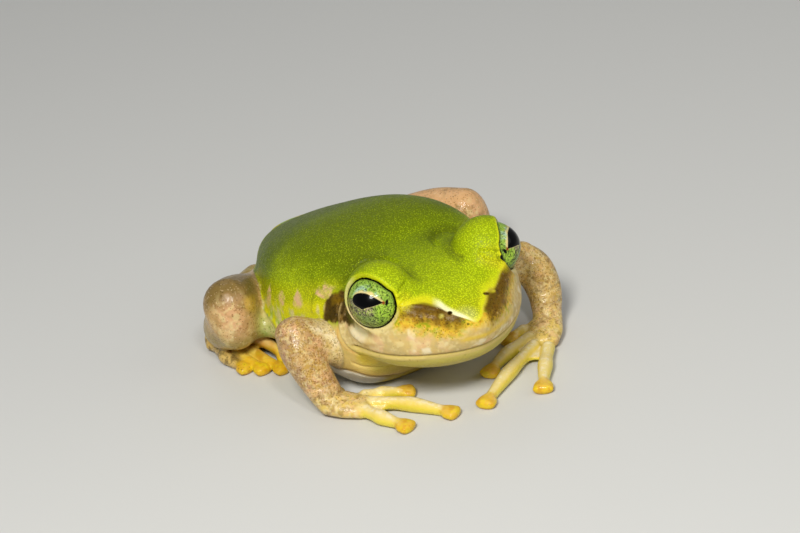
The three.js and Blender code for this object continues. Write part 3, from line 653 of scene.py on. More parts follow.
# The dark patch round the eardrum: y and height of its top and of its bottom.
EAR_PATCH = (([-11.6, -9.4, -8.2, -7.4, -6.9], [10.7, 10.55, 10.15, 9.5, 8.6]),
             ([-11.6, -9.8, -8.9, -7.9, -7.2], [8.7, 8.4, 8, 7.8, 8.3]))
PALE_LINE = np.array([[7.6, -8.6, 10.4], [8.5, -6.6, 9.4], [9.2, -4.4, 8.6], [9.8, -1.6, 7.6], [9.9, 2.6, 6.7],
                      [9, 6, 6.4]])
# Pale blotches along that line: y and z of the middle, half length and half height.
FLANK_BLOTCHES = ((-7.1, 10, 1.3, 0.5), (-3.5, 8.3, 0.75, 0.6), (-0.7, 7.4, 0.6, 0.8), (1.9, 6.7, 0.4, 1),
                  (4.4, 6.3, 0.5, 0.7))
BEHIND_DOME = [[5.9, -8, 11.2], [4.7, -7.4, 11.5], [3.8, -7.7, 11.8], [2.9, -8.4, 11.8]]
ARM_STREAK = [[10.6, -8.6, 8], [9.7, -9, 7.3], [9.2, -9.6, 6.2]]
SNOUT_DOTS = [[-1.91, -20.3, 9.69], [-1.58, -20.46, 9.72], [-1.4, -20.75, 9.36]]
SNOUT_LIGHT, SNOUT_GLOW, BROW_GLOW = [-1.2, -20.4, 9.9], [5.2, -16.1, 11.3], [4.6, -15.9, 12]
JAW_CORNER, KNEE, KNEE_GOLD = [7.4, -12.2, 4.9], [13.7, 1.6, 5.6], [11.6, 2.2, 6.6]


class Coat:
    """Colours at points, laid over one another."""

    def __init__(self, points, tone):
        self.points = points
        self.tones = np.tile(tone, (len(points), 1))

    def lay(self, tone, amount):
        self.tones += (tone - self.tones) * np.clip(amount, 0, 1)[:, None]

    def mottle(self, area, *patches):
        """Random patches in an area: each kind's tone, share, size and seed, and the noise that fades it in."""
        for tone, share, size, seed, low, high in patches:
            self.lay(tone, area * step(low, high, noise(self.points, size, seed)) * share)


def near(points, line, inner, outer):
    """1 within `inner` of a line, fading to 0 at `outer`."""
    return fade(inner, outer, to_line(points, np.asarray(line, float)))


def unsided(points):
    """Points with both sides of the frog laid over its left one."""
    return np.column_stack([np.abs(points[:, 0]), points[:, 1:]])


def paint_trunk(points, trunk):
    """The trunk's colours, and how thick its green grains and its pale and dark flecks are."""
    both = unsided(points)
    x, y, z = both.T
    angle, reach = head_place(points)
    way = angle * np.sign(points[:, 0])
    wander, fine, broad = (noise(points, size, seed) - 0.5 for size, seed in ((1.6, 1), (0.45, 2), (5, 3)))
    streak = noise(points * [1.5, 1.5, 0.5], 0.8, 5)
    coat = Coat(points, GREEN)
    lay, mottle = coat.lay, coat.mottle
    ahead = fade(-9.5, -7, y)
    behind = 1 - ahead
    # Green above: yellow on the snout, darker and olive along the back, with painted shade at its rear top.
    lay(LIME, fade(-19, -8, y + 2 * wander))
    lay(YELLOW, fade(-20.5, -16.5, y + 2 * wander) * 0.6)
    lay(WHITE_LINE, fade(0.2, 1.5, length(points - SNOUT_LIGHT)) * 0.3)
    lay(OLIVE, (step(-11, -3, y + 5 * broad) * 0.75 + 0.3 * broad) * step(-12, -8, y))
    lay(LIME, behind * fade(8.5, 11.6, z + 1.5 * wander) * fade(-2, 5, y) * 0.9)
    # Painted shade: the rear top of the back darkened to a shaded green.
    lay(SHADED_GREEN, step(1, 7, y + 3 * broad + 0.5 * wander) * step(5.5, 8, z) * 0.75)
    # The pale, broken line from behind the eye down the side, and the mottled flank under it.
    under = fade(-0.9, 0.4, z - track(PALE_LINE[:, 1], PALE_LINE[:, 2], y) + 0.8 * wander) * behind
    lay(YELLOW, under * 0.65)
    lay(TEAL, under * fade(6.3, 7.6, z + wander) * step(0.35, 0.6, streak) * step(-5.5, -3, y) * 0.7)
    pinkish = 0
    for middle_y, middle_z, long, high in FLANK_BLOTCHES:
        off = np.hypot((y - middle_y) / long, (z - middle_z) / high) + 1.1 * fine + 0.9 * wander
        pinkish = np.maximum(pinkish, fade(0.6, 1.25, off))
    pinkish = pinkish * behind * (x > 5) * (0.45 + 0.5 * step(0.35, 0.6, noise(points, 0.3, 37)))
    lay(YELLOW, near(both, PALE_LINE, 0.5, 2.4) * behind * 0.45)
    lay(PALE, under * step(0.5, 0.68, noise(points * [1, 1, 0.6], 1, 6)) * 0.8)
    lay(PINK, pinkish)
    lay(GREY, behind * fade(2.4, 4.2, z + 0.8 * wander) * 0.6)
    # Under the line from the eye to the nostril: a dark band, gold specks and a cream cheek.
    line_z, band_z, speck_z = (track(FACE_WAYS, heights, way) for heights in FACE_HEIGHTS)
    above = z - line_z
    behind_fold = angle - track(*CHEEK_END, z)
    lores = fade(-0.08, 0.08, above) * ahead
    cheek = lores * fade(-1, 1, behind_fold)
    lay(CREAM, cheek)
    mottle(cheek, (GREY, 0.6, 1.1, 10, 0.35, 0.7), (PINK, 0.6, 1.3, 9, 0.5, 0.72),
           (PALE, 0.5, 0.5, 14, 0.45, 0.66))
    mottle(cheek * fade(60, 70, angle), (WHITE, 0.7, 1, 18, 0.6, 0.8))
    lay(WHITE, cheek * fade(0.5, 1.3, np.hypot(angle / 9 - 10.2, (z - 8) / 0.8)) * 0.6)
    warm = cheek * step(-0.7, 0.8, z - speck_z + fine + 0.6 * wander) * fade(62, 72, angle)
    lay(GOLD, warm * 0.95)
    mottle(warm * step(0.4, 0.65, noise(points, 0.22, 4)), (GREEN, 0.8, 1.2, 17, 0.35, 0.55))
    mottle(warm, (RUST, 0.5, 0.3, 15, 0.5, 0.7))
    side_share = step(-64, -54, way) * fade(-16, -10, way) + step(2, 6, way) * fade(58, 66, way)
    band = cheek * side_share * step(-0.75, 0.25, z - band_z + 0.7 * fine + 0.4 * wander)
    lay(BROWN, 0.92 * band)
    lay(DARK, band * fade(0.1, 0.9, -above) * 0.4)
    mottle(band * step(0.3, 1, -above), (AMBER, 0.7, 0.35, 19, 0.5, 0.7))
    edge = step(-0.12, -0.02, above) * fade(0.1, 0.42, above) * ahead * fade(60, 68, angle)
    white = step(-34, -24, way) * fade(-14, -3, way)
    lay(CANTHUS, edge * (1 - white) * (1 - 0.6 * step(-8, 4, way)) * 0.85)
    lay(WHITE_LINE, edge * white * fade(0.08, 0.36, above))
    lay(YELLOW, fade(0.4, 1.5, length(both - SNOUT_GLOW)) * 0.75)
    lay(CANTHUS, fade(0.5, 1.8, length(points - BROW_GLOW)) * 0.7)
    lay(GOLD, cheek * bell(z - 7.95, 0.28) * step(-20, -12, way) * fade(28, 40, way) * 0.75)
    # Lips, chin, throat and chest.
    over_lip = z - mouth_height(angle)
    jaw = ahead * fade(98, 108, angle) * step(5, 6.5, reach)
    lay(CHIN, jaw * fade(-0.1, 0.02, over_lip))
    lay(LIP, jaw * bell(over_lip + 0.3, 0.24) * 0.9)
    # The darker line along the mouth: partly the lip's edge colour and partly painted shade in its groove.
    lay(MOUTH, jaw * bell(over_lip, 0.1) * 0.45)
    neck = lores * step(-1, 1, behind_fold) * fade(7.2, 8.2, z)
    lay(PEACH, neck)
    lay(RUST, neck * fade(0.1, 0.8, np.abs(behind_fold - 4 + 6 * wander)) * 0.4)
    lay(CHIN, ahead * fade(4.9, 5.5, z + 0.4 * wander))
    lay(PEACH, ahead * fade(4.9, 5.5, z) * step(-11.9, -10.9, y + 0.6 * wander) * 0.85)
    lay(THROAT, fade(0.8, 1.7, length(both - JAW_CORNER) + wander) * 0.8)
    over_chest = z - track(*CHEST_LINE, x)
    chest = fade(-0.15, 0.1, over_chest) * fade(-7.5, -6, y)
    lay(THROAT * 0.8, chest)
    lay(CHEST, chest * step(4.6, 6.4, x + wander))
    # The thin mauve line along the crease between throat and chest: partly the fold's colour and partly painted
    # shade in it.
    lay(MAUVE, ahead * bell(over_chest - 0.05, 0.1) * (y > -12) * 0.6)
    lay(CHEST, fade(0.8, 1.8, z + 0.5 * wander) * step(-8, -6, y) * 0.8)
    # The dark patch round the eardrum, up to the eye, and the pale fold that crosses it.
    top, bottom = (track(*line, y) for line in EAR_PATCH)
    ragged = 0.7 * wander + 0.5 * fine
    dark = step(-0.2, 0.25, np.minimum(top - z, z - bottom) + ragged) * fade(-7.5, -7, y + ragged)
    dark = dark * step(-12.4, -11.4, y) * (x > 6.4)
    lay(BROWN, dark * 0.95)
    lay(DARK, dark * fade(0.5, 0.8, noise(points, 0.9, 16)) * 0.8)
    lay(MUD, dark * step(0.6, 0.75, streak) * 0.35)
    lay(CREAM, bell(to_line(both, np.array(FOLDS["behind_cheek"][0])), 0.17) * 0.6)
    # Domes, the crown behind them, lids and nostrils, with painted shade behind, round and on the domes.
    # Painted shadow on the crown just behind the domes.
    lay(SHADE, near(both, BEHIND_DOME, 0.1, 1.6) * 0.75)
    lids = np.zeros(len(points))
    for _, side in SIDES:
        away = points - EYES[side]
        back, rise = away[:, 1:].T
        dome = dome_distance(points, side)
        on_dome = fade(-0.1, 0.25, dome)
        # Painted shade round each dome's foot away from its front, and a thin dark line painted along its upper
        # outline.
        lay(SHADE, bell(dome - 0.45, 0.45) * step(-2.4, -0.4, back) * (trunk < 0.2) * 0.5)
        lay(DARK, bell(dome - 0.16, 0.1) * step(-2.6, -1.6, back) * (rise > 0) * (trunk < 0.3) * 0.5)
        lay(LIME, on_dome * step(-0.9, -0.2, -back) * 0.4)
        # Painted shade: the dome's top and back darkened to olive.
        lay(OLIVE, on_dome * step(2.4, 4, rise + 0.5 * back) * 0.35)
        beyond, front, high = past_lids(away, side)
        off_ball = length(away) - EYE_RADIUS
        close = fade(0.4, 0.7, off_ball)
        low = np.maximum(fade(-1.2, 0.4, high), fade(-2.1, -1.2, front))
        lay(PALE, close * fade(2.5, 4.5, beyond) * low * 0.6)
        lay(YELLOW, close * fade(3, 8, beyond) * (1 - low) * 0.4)
        # Painted shade: the skin right against the ball darkened where the lids meet it.
        lay(DARK * 0.4, fade(0.02, 0.11, off_ball) * fade(2, 4, beyond))
        lids = np.maximum(lids, close * fade(4, 8, beyond))
        from_hole, from_rim = (length(points - place) for place in NOSTRILS[side])
        hole_size, rim_size = 0.76 * NOSTRIL_RIMS[-1], 1.35 * NOSTRIL_RIMS[side]
        lay(MUD, fade(0.4, 0.8, from_hole) * (side < 0) * cheek * 0.45)
        lay(YELLOW + 0.1, fade(0.65 * rim_size, rim_size, from_rim) * 0.9)
        # The nostril holes painted dark as the shade inside them.
        lay(DARK, fade(0.5 * hole_size, hole_size, from_hole))
    for dot in SNOUT_DOTS:
        lay(DARK, fade(0.08, 0.17, length(points - dot)) * 0.85)
    green = (1 - lores) * step(3.5, 6, z) * (1 - dark) * (1 - 0.8 * lids) * (1 - 0.7 * edge)
    green = green * (1 - 0.85 * pinkish) * (1 - 0.6 * under)
    darks = np.maximum(np.maximum(band * 0.25, warm * 0.16), 0.25 * dark) * (1 - edge) + 0.03 * cheek
    return coat.tones, green, 0.03 * cheek * (over_lip > 0), darks


def paint_limbs(points, normals, arms, legs, digits):
    """The limbs' colours, and how thick their pale and dark flecks are."""
    both = unsided(points)
    x, y, z = both.T
    wander, fine = noise(points, 1.3, 21) - 0.5, noise(points, 0.4, 22) - 0.5
    cloud, blot = noise(points, 1.1, 23), noise(points, 0.5, 24)
    leg = step(-0.2, 0.2, np.minimum(arms, digits + 9 * (y > -6)) - np.minimum(legs, digits + 9 * (y < -6)))
    arm = 1 - leg
    left, facing_up = points[:, 0] > 0, normals[:, 2]
    coat = Coat(points, TAN)
    lay, mottle = coat.lay, coat.mottle
    # Arms: tan and rosy, mottled to the palm, with a pale streak on the upper arm and bars on the left.
    lay(ROSE, arm * step(0.4, 0.66, cloud) * 0.75)
    lay(MUD, arm * step(0.46, 0.66, blot) * 0.45)
    mottle(arm, (MAUVE, 0.45, 0.9, 30, 0.56, 0.74))
    lay(MAUVE, arm * step(0.3, 0.9, normals[:, 0] * np.sign(points[:, 0])) * step(3, 5, z) * 0.4)
    lay(PALE, arm * fade(9.4, 10.6, x) * step(2.5, 4, z) * 0.75)
    lay(WHITE, arm * near(both, ARM_STREAK, 0.1, 0.6) * 0.6)
    bars = step(0.6, 0.85, np.sin(5.2 * z + 2.2 * x + 3 * wander)) * step(0.1, 0.5, normals[:, 0])
    lay(TAN_BROWN, arm * left * bars * fade(6.2, 7.2, z) * step(1.6, 2.6, z) * 0.65)
    lay(SAND, arm * fade(1.4, 3, z + 0.5 * wander) * 0.6)
    lay(SAND, arm * left * 0.2)
    mottle(arm * left * step(2.5, 4, z), (PALE, 0.45, 0.7, 40, 0.5, 0.68))
    mottle(arm * left * step(2, 3, z), (MUD * 0.8, 0.5, 0.6, 41, 0.56, 0.72))
    mottle(arm * step(1.5, 3, z), (AMBER, 0.4, 0.4, 35, 0.5, 0.7), (PALE, 0.5, 0.32, 36, 0.56, 0.72))
    # Legs: brown on top, rosy on the knee, stone below and gold at the foot.
    lay(TAN_BROWN * 1.1, leg * (1 - left) * step(5.8, 7.8, z + 1.2 * wander) * 0.9)
    knee = length((both - KNEE) / [1, 1, 1.4])
    lay(ROSE, leg * fade(0.8, 2.8, knee + 1.4 * wander) * 0.85)
    lay(ROSE, leg * left * step(4, 6, z) * 0.7)
    mottle(leg * left * step(11, 12.5, x), (TAN_BROWN, 0.5, 1.6, 25, 0.6, 0.74))
    lay(STONE, leg * fade(3, 5, z + 0.8 * wander) * 0.85)
    lay(TEAL, leg * fade(10.4, 12, x) * fade(4.6, 6.4, z) * fade(2, 6, y) * 0.4)
    mottle(leg, (MUD, 0.4, 0.8, 38, 0.5, 0.7))
    mottle(leg * fade(1, 3.2, knee), (PALE, 0.5, 0.6, 39, 0.52, 0.68))
    lay(GOLD, leg * fade(0.5, 1.4, length(both - KNEE_GOLD) + wander) * 0.4)
    mottle(leg * fade(5, 6.4, z), (PALE, 0.3, 0.8, 31, 0.5, 0.8))
    # Digits: cream along the top, partly their colour and partly a painted sheen, with painted glints on the
    # fingers, gold at the edges and webs, and orange at the discs.
    finger = fade(-0.5, 0.5, digits - np.minimum(arms, legs))
    mottle(arm * (1 - finger) * fade(2, 3.6, z), (PINK, 0.55, 0.6, 33, 0.42, 0.62),
           (MUD, 0.6, 0.45, 34, 0.46, 0.66), (PALE, 0.6, 0.3, 42, 0.54, 0.7))
    on_hand = finger * arm
    lay(SAND, on_hand)
    lay(YELLOW, on_hand * fade(0, 0.6, facing_up) * 0.5)
    # Pale on the upward-facing tops: partly the fingers' cream and partly a painted sheen.
    lay(PALE, on_hand * step(0.5, 0.9, facing_up + 0.3 * fine) * 0.75)
    # Painted glints: white flecks on the tops of the fingers.
    mottle(on_hand * step(0.75, 0.95, facing_up), (WHITE, 0.6, 0.3, 43, 0.5, 0.66))
    foot = leg * np.maximum(finger, fade(1.6, 2.8, z) * 0.9)
    lay(AMBER, foot)
    lay(SAND, foot * step(0.4, 0.9, facing_up) * step(0.42, 0.6, cloud) * 0.6)
    lay(TAN, foot * step(1.3, 2, z) * 0.8)
    lay(RUST, foot * step(0.56, 0.7, blot) * 0.35)
    outer = foot * step(12.7, 13.3, x)
    lay(CREAM, outer * 0.75)
    mottle(outer, (TAN_BROWN, 0.75, 0.6, 26, 0.46, 0.6))
    tip = np.zeros(len(points))
    for name, side in SIDES:
        for line in ARMS[name]["fingers"] + [leg_line(toe, side) for toe in TOES]:
            tip = np.maximum(tip, fade(0.9, 1.9, length(points - line[-1]) + 0.6 * fine))
    lay(ORANGE, tip * 0.85)
    mottle(tip, (YELLOW, 0.35, 0.4, 27, 0.5, 0.66), (RUST, 0.4, 0.45, 28, 0.58, 0.72))
    rough = (1 - finger) * step(0.8, 2.4, z)
    pale = rough * (0.08 + 0.26 * arm * step(0.3, 0.65, blot)) + 0.02
    darks = rough * (0.1 + 0.24 * arm + 0.14 * step(0.4, 0.7, cloud)) + 0.012 + 0.2 * outer
    return coat.tones, pale, darks


def paint(points, normals, *fields):
    """The skin's colour at each point, and how thick its grains and flecks are there."""
    trunk, body, arms, legs, digits = (sample(field, points) for field in fields)
    tones, green, pale, darks = paint_trunk(points, trunk)
    limb_tones, limb_pale, limb_darks = paint_limbs(points, normals, arms, legs, digits)
    on_limb = fade(-0.12, 0.12, np.minimum(np.minimum(arms, legs), digits) - body)
    # Painted shade darkens the skin where the limbs meet the body.
    joint_shade = bell(np.minimum(arms, legs) - body, 0.14) * (body < 0.5)
    tones = (tones + (limb_tones - tones) * on_limb[:, None]) * (1 - 0.3 * joint_shade)[:, None]
    blend = lambda first, second: first + (second - first) * on_limb
    return {"tint": np.clip(tones, 0, 1), "grain": green * (1 - on_limb), "pale": blend(pale, limb_pale),
            "dark": blend(darks, limb_darks), "wet": 0.1 + 0.4 * on_limb}


# ---- meshes
def make_mesh(name, points, faces, **attributes):
    """A smooth mesh object from points in millimetres, with colours or values at its points."""
    mesh = bpy.data.meshes.new(name)
    mesh.from_pydata((points * MM).tolist(), [], faces.tolist())
    mesh.shade_smooth()
    mesh.validate()
    for key, values in attributes.items():
        kind, field = ("FLOAT_COLOR", "color") if values.ndim == 2 else ("FLOAT", "value")
        if values.ndim == 2:
            values = np.column_stack([values, np.ones(len(values))])
        mesh.attributes.new(key, kind, "POINT").data.foreach_set(field, values.astype(np.float32).ravel())
    made = bpy.data.objects.new(name, mesh)
    bpy.context.scene.collection.objects.link(made)
    return made


# ---- materials
class Nodes:
    """A material's nodes, built line by line."""

    def __init__(self, name):
        self.material = bpy.data.materials.new(name)
        self.material.use_nodes = True
        self.tree = self.material.node_tree
        self.shader = self.tree.nodes["Principled BSDF"]

    def put(self, socket, value):
        if isinstance(value, bpy.types.NodeSocket):
            self.tree.links.new(value, socket)
        else:
            socket.default_value = (*value, 1) if socket.type == "RGBA" else value

    def node(self, kind, inputs=None, **settings):
        """The outputs of a new node with those inputs and settings."""
        made = self.tree.nodes.new("ShaderNode" + kind)
        for name, value in settings.items():
            setattr(made, name, value)
        for name, value in (inputs or {}).items():
            self.put(made.inputs[name], value)
        return made.outputs

    def attribute(self, name, output="Fac"):
        return self.node("Attribute", attribute_name=name)[output]

    def place(self, shift=0):
        """Places on the piece, moved by `shift` millimetres."""
        here = self.node("TexCoord")["Object"]
        return self.node("Mapping", {"Vector": here, "Location": [shift * MM] * 3})["Vector"]

    def noise(self, size, detail=3, rough=0.5):
        """Clouds of about `size` millimetres."""
        return self.node("TexNoise", {"Scale": 1 / (size * MM), "Detail": detail, "Roughness": rough,
                                      "Vector": self.place()})["Fac"]

    def cells(self, size, shift=0):
        """Cells of about `size` millimetres: the distance from each middle, and each cell's three chances."""
        made = self.node("TexVoronoi", {"Scale": 1 / (size * MM), "Vector": self.place(shift)})
        return made["Distance"], self.node("SeparateColor", {0: made["Color"]})

    def math(self, kind, *values):
        return self.node("Math", dict(enumerate(values)), operation=kind)[0]

    def ramp(self, value, low, high, start=0, end=1):
        """`value` moved from the range low to high into start to end, smoothly."""
        inputs = {"Value": value, "From Min": low, "From Max": high, "To Min": start, "To Max": end}
        return self.node("MapRange", inputs, interpolation_type="SMOOTHSTEP")["Result"]

    def mix(self, share, first, second, kind="MIX"):
        # A Mix node's colours are its seventh and eighth inputs and its third output.
        return self.node("Mix", {0: share, 6: first, 7: second}, data_type="RGBA", blend_type=kind)[2]

    def bump(self, height, depth, strength, **normal):
        return self.node("Bump", {"Distance": depth * MM, "Strength": strength, "Height": height,
                                  **normal})["Normal"]

    def set(self, **values):
        for name, value in values.items():
            self.put(self.shader.inputs[name.replace("_", " ")], value)


# The two sizes of flecks: millimetres, shift and weight. Then the flecks: how each is mixed, with its share.
FLECK_SIZES = ((0.13, 3.1, 1), (0.26, 7.7, 0.6))
FLECKS = (("dark", "MULTIPLY", (0.44, 0.37, 0.22), 0.9), ("pale", "MIX", (0.84, 0.64, 0.4), 0.45))


def skin_material():
    m = Nodes("moist_granular_skin")
    grain = m.attribute("grain")
    tone = m.attribute("tint", "Color")
    # Green skin: pale yellow grains on a darker ground, in cloudy patches; partly the skin's own grains and
    # partly a painted highlight on their tops and painted shade in the hollows between them.
    grain_far, grain_chances = m.cells(0.15)
    # Partly painted shade: the ground darkens towards the hollows between the grains.
    ground = m.math("MULTIPLY", grain, m.ramp(grain_far, 0.2, 0.6, 0, 0.55))
    tone = m.mix(ground, tone, GREEN * 0.35)
    # Partly a painted highlight: the grains' pale tops.
    pale = m.math("MULTIPLY", grain, m.ramp(grain_far, 0.1, 0.45, 0.7, 0))
    pale = m.math("MULTIPLY", pale, m.ramp(grain_chances[0], 0, 1, 0.15, 1))
    pale = m.math("MULTIPLY", pale, m.ramp(m.noise(1, detail=4), 0.3, 0.6, 0.35, 1))
    tone = m.mix(pale, tone, LIME * 1.2)
    # Flecks: each cell is one if its chance is below the attribute's value.
    for size, shift, weight in FLECK_SIZES:
        far, chances = m.cells(size, shift)
        for (name, kind, fleck, share), chance in zip(FLECKS, chances):
            spot = m.ramp(far, 0.25, 0.6, share * weight, 0)
            here = m.ramp(m.math("SUBTRACT", m.attribute(name), chance), 0, 0.05)
            tone = m.mix(m.math("MULTIPLY", here, spot), tone, fleck, kind)
    soft = m.noise(0.3, detail=5, rough=0.6)
    pebbles = m.math("MULTIPLY", m.ramp(m.cells(0.32)[0], 0.1, 0.6, 1, 0), 0.35)
    rough = m.math("MULTIPLY_ADD", soft, 0.6, pebbles)
    grains = m.math("MULTIPLY_ADD", grain, 0.45, 0.1)
    height = m.math("MULTIPLY_ADD", m.ramp(grain_far, 0.1, 0.55, 1, 0), grains, rough)
    normal = m.bump(height, 0.05, 0.9, Normal=m.bump(m.noise(1.5, detail=2), 0.14, 0.5))
    m.set(Base_Color=tone, Roughness=m.ramp(soft, 0.3, 0.7, 0.3, 0.5), Normal=normal)
    m.set(Subsurface_Weight=0.12, Subsurface_Scale=0.4 * MM, IOR=1.38, Specular_IOR_Level=0.15)
    m.set(Subsurface_Radius=(1, 0.7, 0.3), Coat_Roughness=0.12, Coat_Normal=m.bump(soft, 0.07, 0.8))
    m.set(Coat_Weight=m.math("MULTIPLY", m.attribute("wet"), m.ramp(grain, 0, 1, 1, 0)))
    return m.material


def eye_material():
    m = Nodes("eye")
    clouds = m.ramp(m.noise(0.25), 0.4, 0.7, 0, 0.5)
    tone = m.mix(clouds, m.attribute("tint", "Color"), (0.6, 0.7, 0.55), "MULTIPLY")
    m.set(Base_Color=tone, Roughness=0.25, IOR=1.33, Specular_IOR_Level=0.12)
    m.set(Coat_Weight=0.45, Coat_Roughness=0.02, Coat_IOR=1.34)
    return m.material


# ---- eyes
# Each pupil's middle, outward and upward, its tilt, its half height and its reach ahead and behind, in degrees.
PUPILS = {"right": (57, 26, -2, 14, 38, 29), "left": (40, 28, -12, 16.5, 31, 34)}
BALL_RINGS, BALL_SIDES = 170, 220


def eye_ball(name, side):
    """The ball with its bulging front, coloured by how far each point is from the pupil."""
    axis, forward, up = eye_frame(side)
    polar = np.linspace(0, np.pi, BALL_RINGS)[1:-1]
    angle = np.linspace(0, 2 * np.pi, BALL_SIDES, endpoint=False)
    ray = (np.cos(polar)[:, None, None] * axis + np.sin(polar)[:, None, None]
           * (np.cos(angle)[None, :, None] * forward + np.sin(angle)[None, :, None] * up))
    # Where each ray from the middle leaves the ball, or the cornea if that is farther out.
    ahead = CORNEA_FORWARD * np.cos(polar)
    cornea = ahead + np.sqrt(np.maximum(CORNEA_RADIUS ** 2 - CORNEA_FORWARD ** 2 + ahead ** 2, 0))
    far = soft_max(cornea, np.full_like(cornea, EYE_RADIUS), 0.15)
    centre = EYES[side]
    points, faces = skin_rings(centre + ray * far[:, None, None],
                               centre + axis * (CORNEA_RADIUS + CORNEA_FORWARD), centre - axis * EYE_RADIUS)
    away = points - centre
    return make_mesh("eye_ball_" + name, points, outward(away, faces), tint=iris(away, name, side))


def iris(away, name, side):
    """The iris and the teardrop pupil, by the angles ahead of and above the pupil's middle."""
    outward_by, upward_by, tilt, height, ahead, behind = PUPILS[name]
    gaze, forward, up = eye_frame(side, outward_by, upward_by)
    cos, sin = math.cos(math.radians(tilt)), math.sin(math.radians(tilt))
    way = unit(away)
    u, v = (np.degrees(np.arcsin(np.clip(way @ axis, -1, 1)))
            for axis in (forward * cos + up * sin, up * cos - forward * sin))
    grain = noise(away * [1, 1, 0.6], 0.08, 11)
    veins = np.abs(noise(away * [1, 1, 0.5], 0.2, 12) - 0.5)
    patch = noise(away, 0.7, 13)
    wander = 14 * (patch - 0.5)
    notch = 1 + 0.2 * bell(u + 2, 5) * (v < 0)
    half = height * notch * np.where(u > 0, 1 - np.clip(u / ahead, 0, 1) ** 1.35,
                                     np.sqrt(1 - np.clip(-u / behind, 0, 1) ** 2.2))
    outside = np.abs(v) - half
    below = fade(-3, 1, v)
    coat = Coat(away, colour(150, 184, 70))
    lay = coat.lay
    lay(colour(176, 206, 176), step(0.35, 0.6, patch) * step(2, 8, v) * fade(26, 36, np.hypot(u, v)) * 0.9)
    lay(colour(142, 138, 96), below * fade(16, 30, u + wander))
    lay(colour(166, 150, 122), below * step(-6, 4, u) * fade(12, 22, u) * step(-26, -18, v) * 0.8)
    lay(colour(160, 196, 60), below * step(16, 30, u + wander) * 0.9)
    lay(colour(128, 160, 60), fade(-34, -26, v) * 0.6)
    lay(colour(190, 214, 90), step(0.55, 0.7, noise(away, 0.25, 33)) * 0.6)
    lay(colour(12, 16, 8), fade(0.015, 0.06, veins) * (0.45 + 0.5 * below))
    lay(colour(14, 18, 10), step(0.58, 0.68, grain) * 0.85)
    # A pale line round the pupil, broad and warm above it, and a red and a dark spot at its tip.
    shown = fade(-2, 2, u - ahead) * fade(-2, 2, -u - behind)
    lay(colour(232, 206, 140), fade(2, 8, outside + wander / 2) * (v > 0) * shown * 0.85)
    lay(colour(228, 208, 150), fade(0.8, 1.9, outside) * shown * (0.75 + 0.25 * (v > 0)))
    lay(colour(164, 84, 34), fade(2, 4.5, np.hypot(u - ahead - 1, v)))
    lay(colour(8, 8, 8), fade(2.5, 4, np.hypot(u - ahead - 8, (v - 1) * 0.5)))
    lay(colour(3, 3, 4), fade(0.1, 1, outside) * (way @ gaze > 0))
    # Shade towards the lids.
    beyond = past_lids(away, side)[0]
    lay(colour(50, 62, 30), step(-7, -2, beyond) * 0.45)
    lay(colour(5, 6, 4), step(-1.8, -0.9, beyond))
    return coat.tones


# ---- build
trunk, body = make_body()
arms, legs, digits = make_limbs()
whole = soft_min(soft_min(soft_min(body, arms, 0.3), legs, 0.7), digits, 0.35)
heights = ((np.arange(SHAPE[2]) + FIRST[2]) * VOXEL).astype(np.float32)
whole = np.maximum(whole, -heights[None, None, :])
points, quads = surface(whole)
points[:, 2] = np.maximum(points[:, 2], 0)
coats = paint(points, point_normals(points, quads), trunk, body, arms, legs, digits)
skin = make_mesh("skin", points, quads, **coats)
skin.data.materials.append(skin_material())
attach(skin, "root")
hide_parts(*[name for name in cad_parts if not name.startswith("eye_")])

eye_look = eye_material()
for name, side in SIDES:
    ball = eye_ball(name, side)
    ball.data.materials.append(eye_look)
    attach(ball, "root")
    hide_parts("eye_" + name)

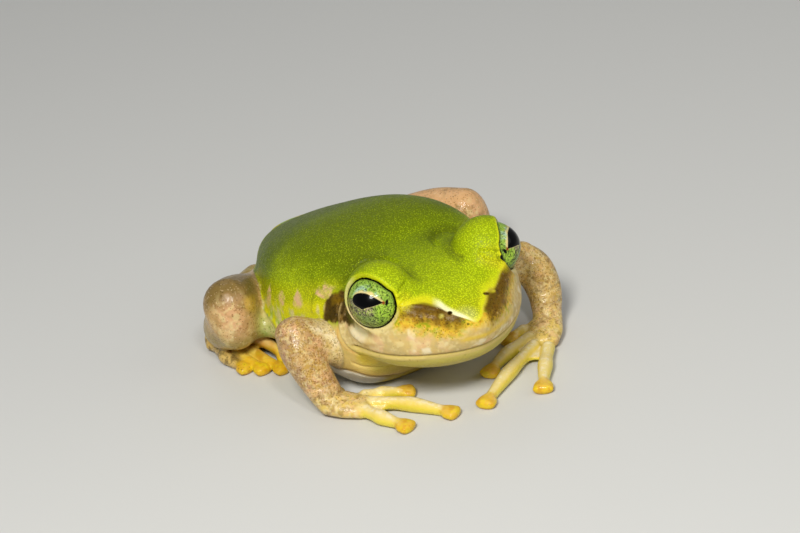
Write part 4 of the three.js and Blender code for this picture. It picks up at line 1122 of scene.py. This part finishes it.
# ---- floor, light and camera
FLOOR_HALF = 600
CAMERA_TARGET, CAMERA_DISTANCE = (3.59, 0, 5.66), 285.5
CAMERA_TURNS = -27.5, 26.56, 8.88  # azimuth, elevation and roll, in degrees
LIGHT_TARGET = (0, -3, 5)
LIGHTS = (  # name, size, power, azimuth, elevation, distance and colour
    ("key", 90, 0.85, -42, 46, 320, (1, 0.98, 0.93)),
    ("front", 40, 0.2, -16, 46, 330, (1, 1, 1)),
    ("fill", 260, 0.14, 50, 32, 380, (1, 1, 1)),
    ("rim", 160, 0.05, 165, 50, 340, (1, 1, 1)),
)

floor_corners = FLOOR_HALF * np.array([[-1, -1, 0], [1, -1, 0], [1, 1, 0], [-1, 1, 0]])
floor_mesh = make_mesh("floor", floor_corners, np.array([[0, 1, 2, 3]]))
floor_look = Nodes("pale_floor")
floor_look.set(Base_Color=(0.62, 0.62, 0.6), Roughness=0.7)
floor_mesh.data.materials.append(floor_look.material)


def aimed(name, data, target, distance, azimuth, elevation, roll=0):
    """A new object of the scene that looks at a target from a distance."""
    a, e, r = (math.radians(v) for v in (azimuth, elevation, roll))
    back = np.array([math.sin(a) * math.cos(e), -math.cos(a) * math.cos(e), math.sin(e)])
    right = np.array([math.cos(a), math.sin(a), 0])
    up = np.cross(back, right)
    matrix = np.eye(4)
    matrix[:3, 0] = right * math.cos(r) - up * math.sin(r)
    matrix[:3, 1] = right * math.sin(r) + up * math.cos(r)
    matrix[:3, 2], matrix[:3, 3] = back, (np.array(target) + back * distance) * MM
    made = bpy.data.objects.new(name, data)
    bpy.context.scene.collection.objects.link(made)
    made.matrix_world = Matrix(matrix.tolist())
    return made


camera = aimed("camera", bpy.data.cameras.new("camera"), CAMERA_TARGET, CAMERA_DISTANCE, *CAMERA_TURNS)
camera.data.sensor_width, camera.data.lens = 36, 135
camera.data.clip_start = 0.01
bpy.context.scene.camera = camera

for name, size, power, azimuth, elevation, distance, tint in LIGHTS:
    data = bpy.data.lights.new(name, "AREA")
    data.shape, data.size = "DISK", size * MM
    data.energy, data.color = power, tint
    aimed(name, data, LIGHT_TARGET, distance, azimuth, elevation)

world = bpy.data.worlds.new("studio")
world.use_nodes = True
world.node_tree.nodes["Background"].inputs["Color"].default_value = (0.95, 0.97, 1, 1)
world.node_tree.nodes["Background"].inputs["Strength"].default_value = 0.22
bpy.context.scene.world = world
bpy.context.scene.view_settings.view_transform = "Standard"
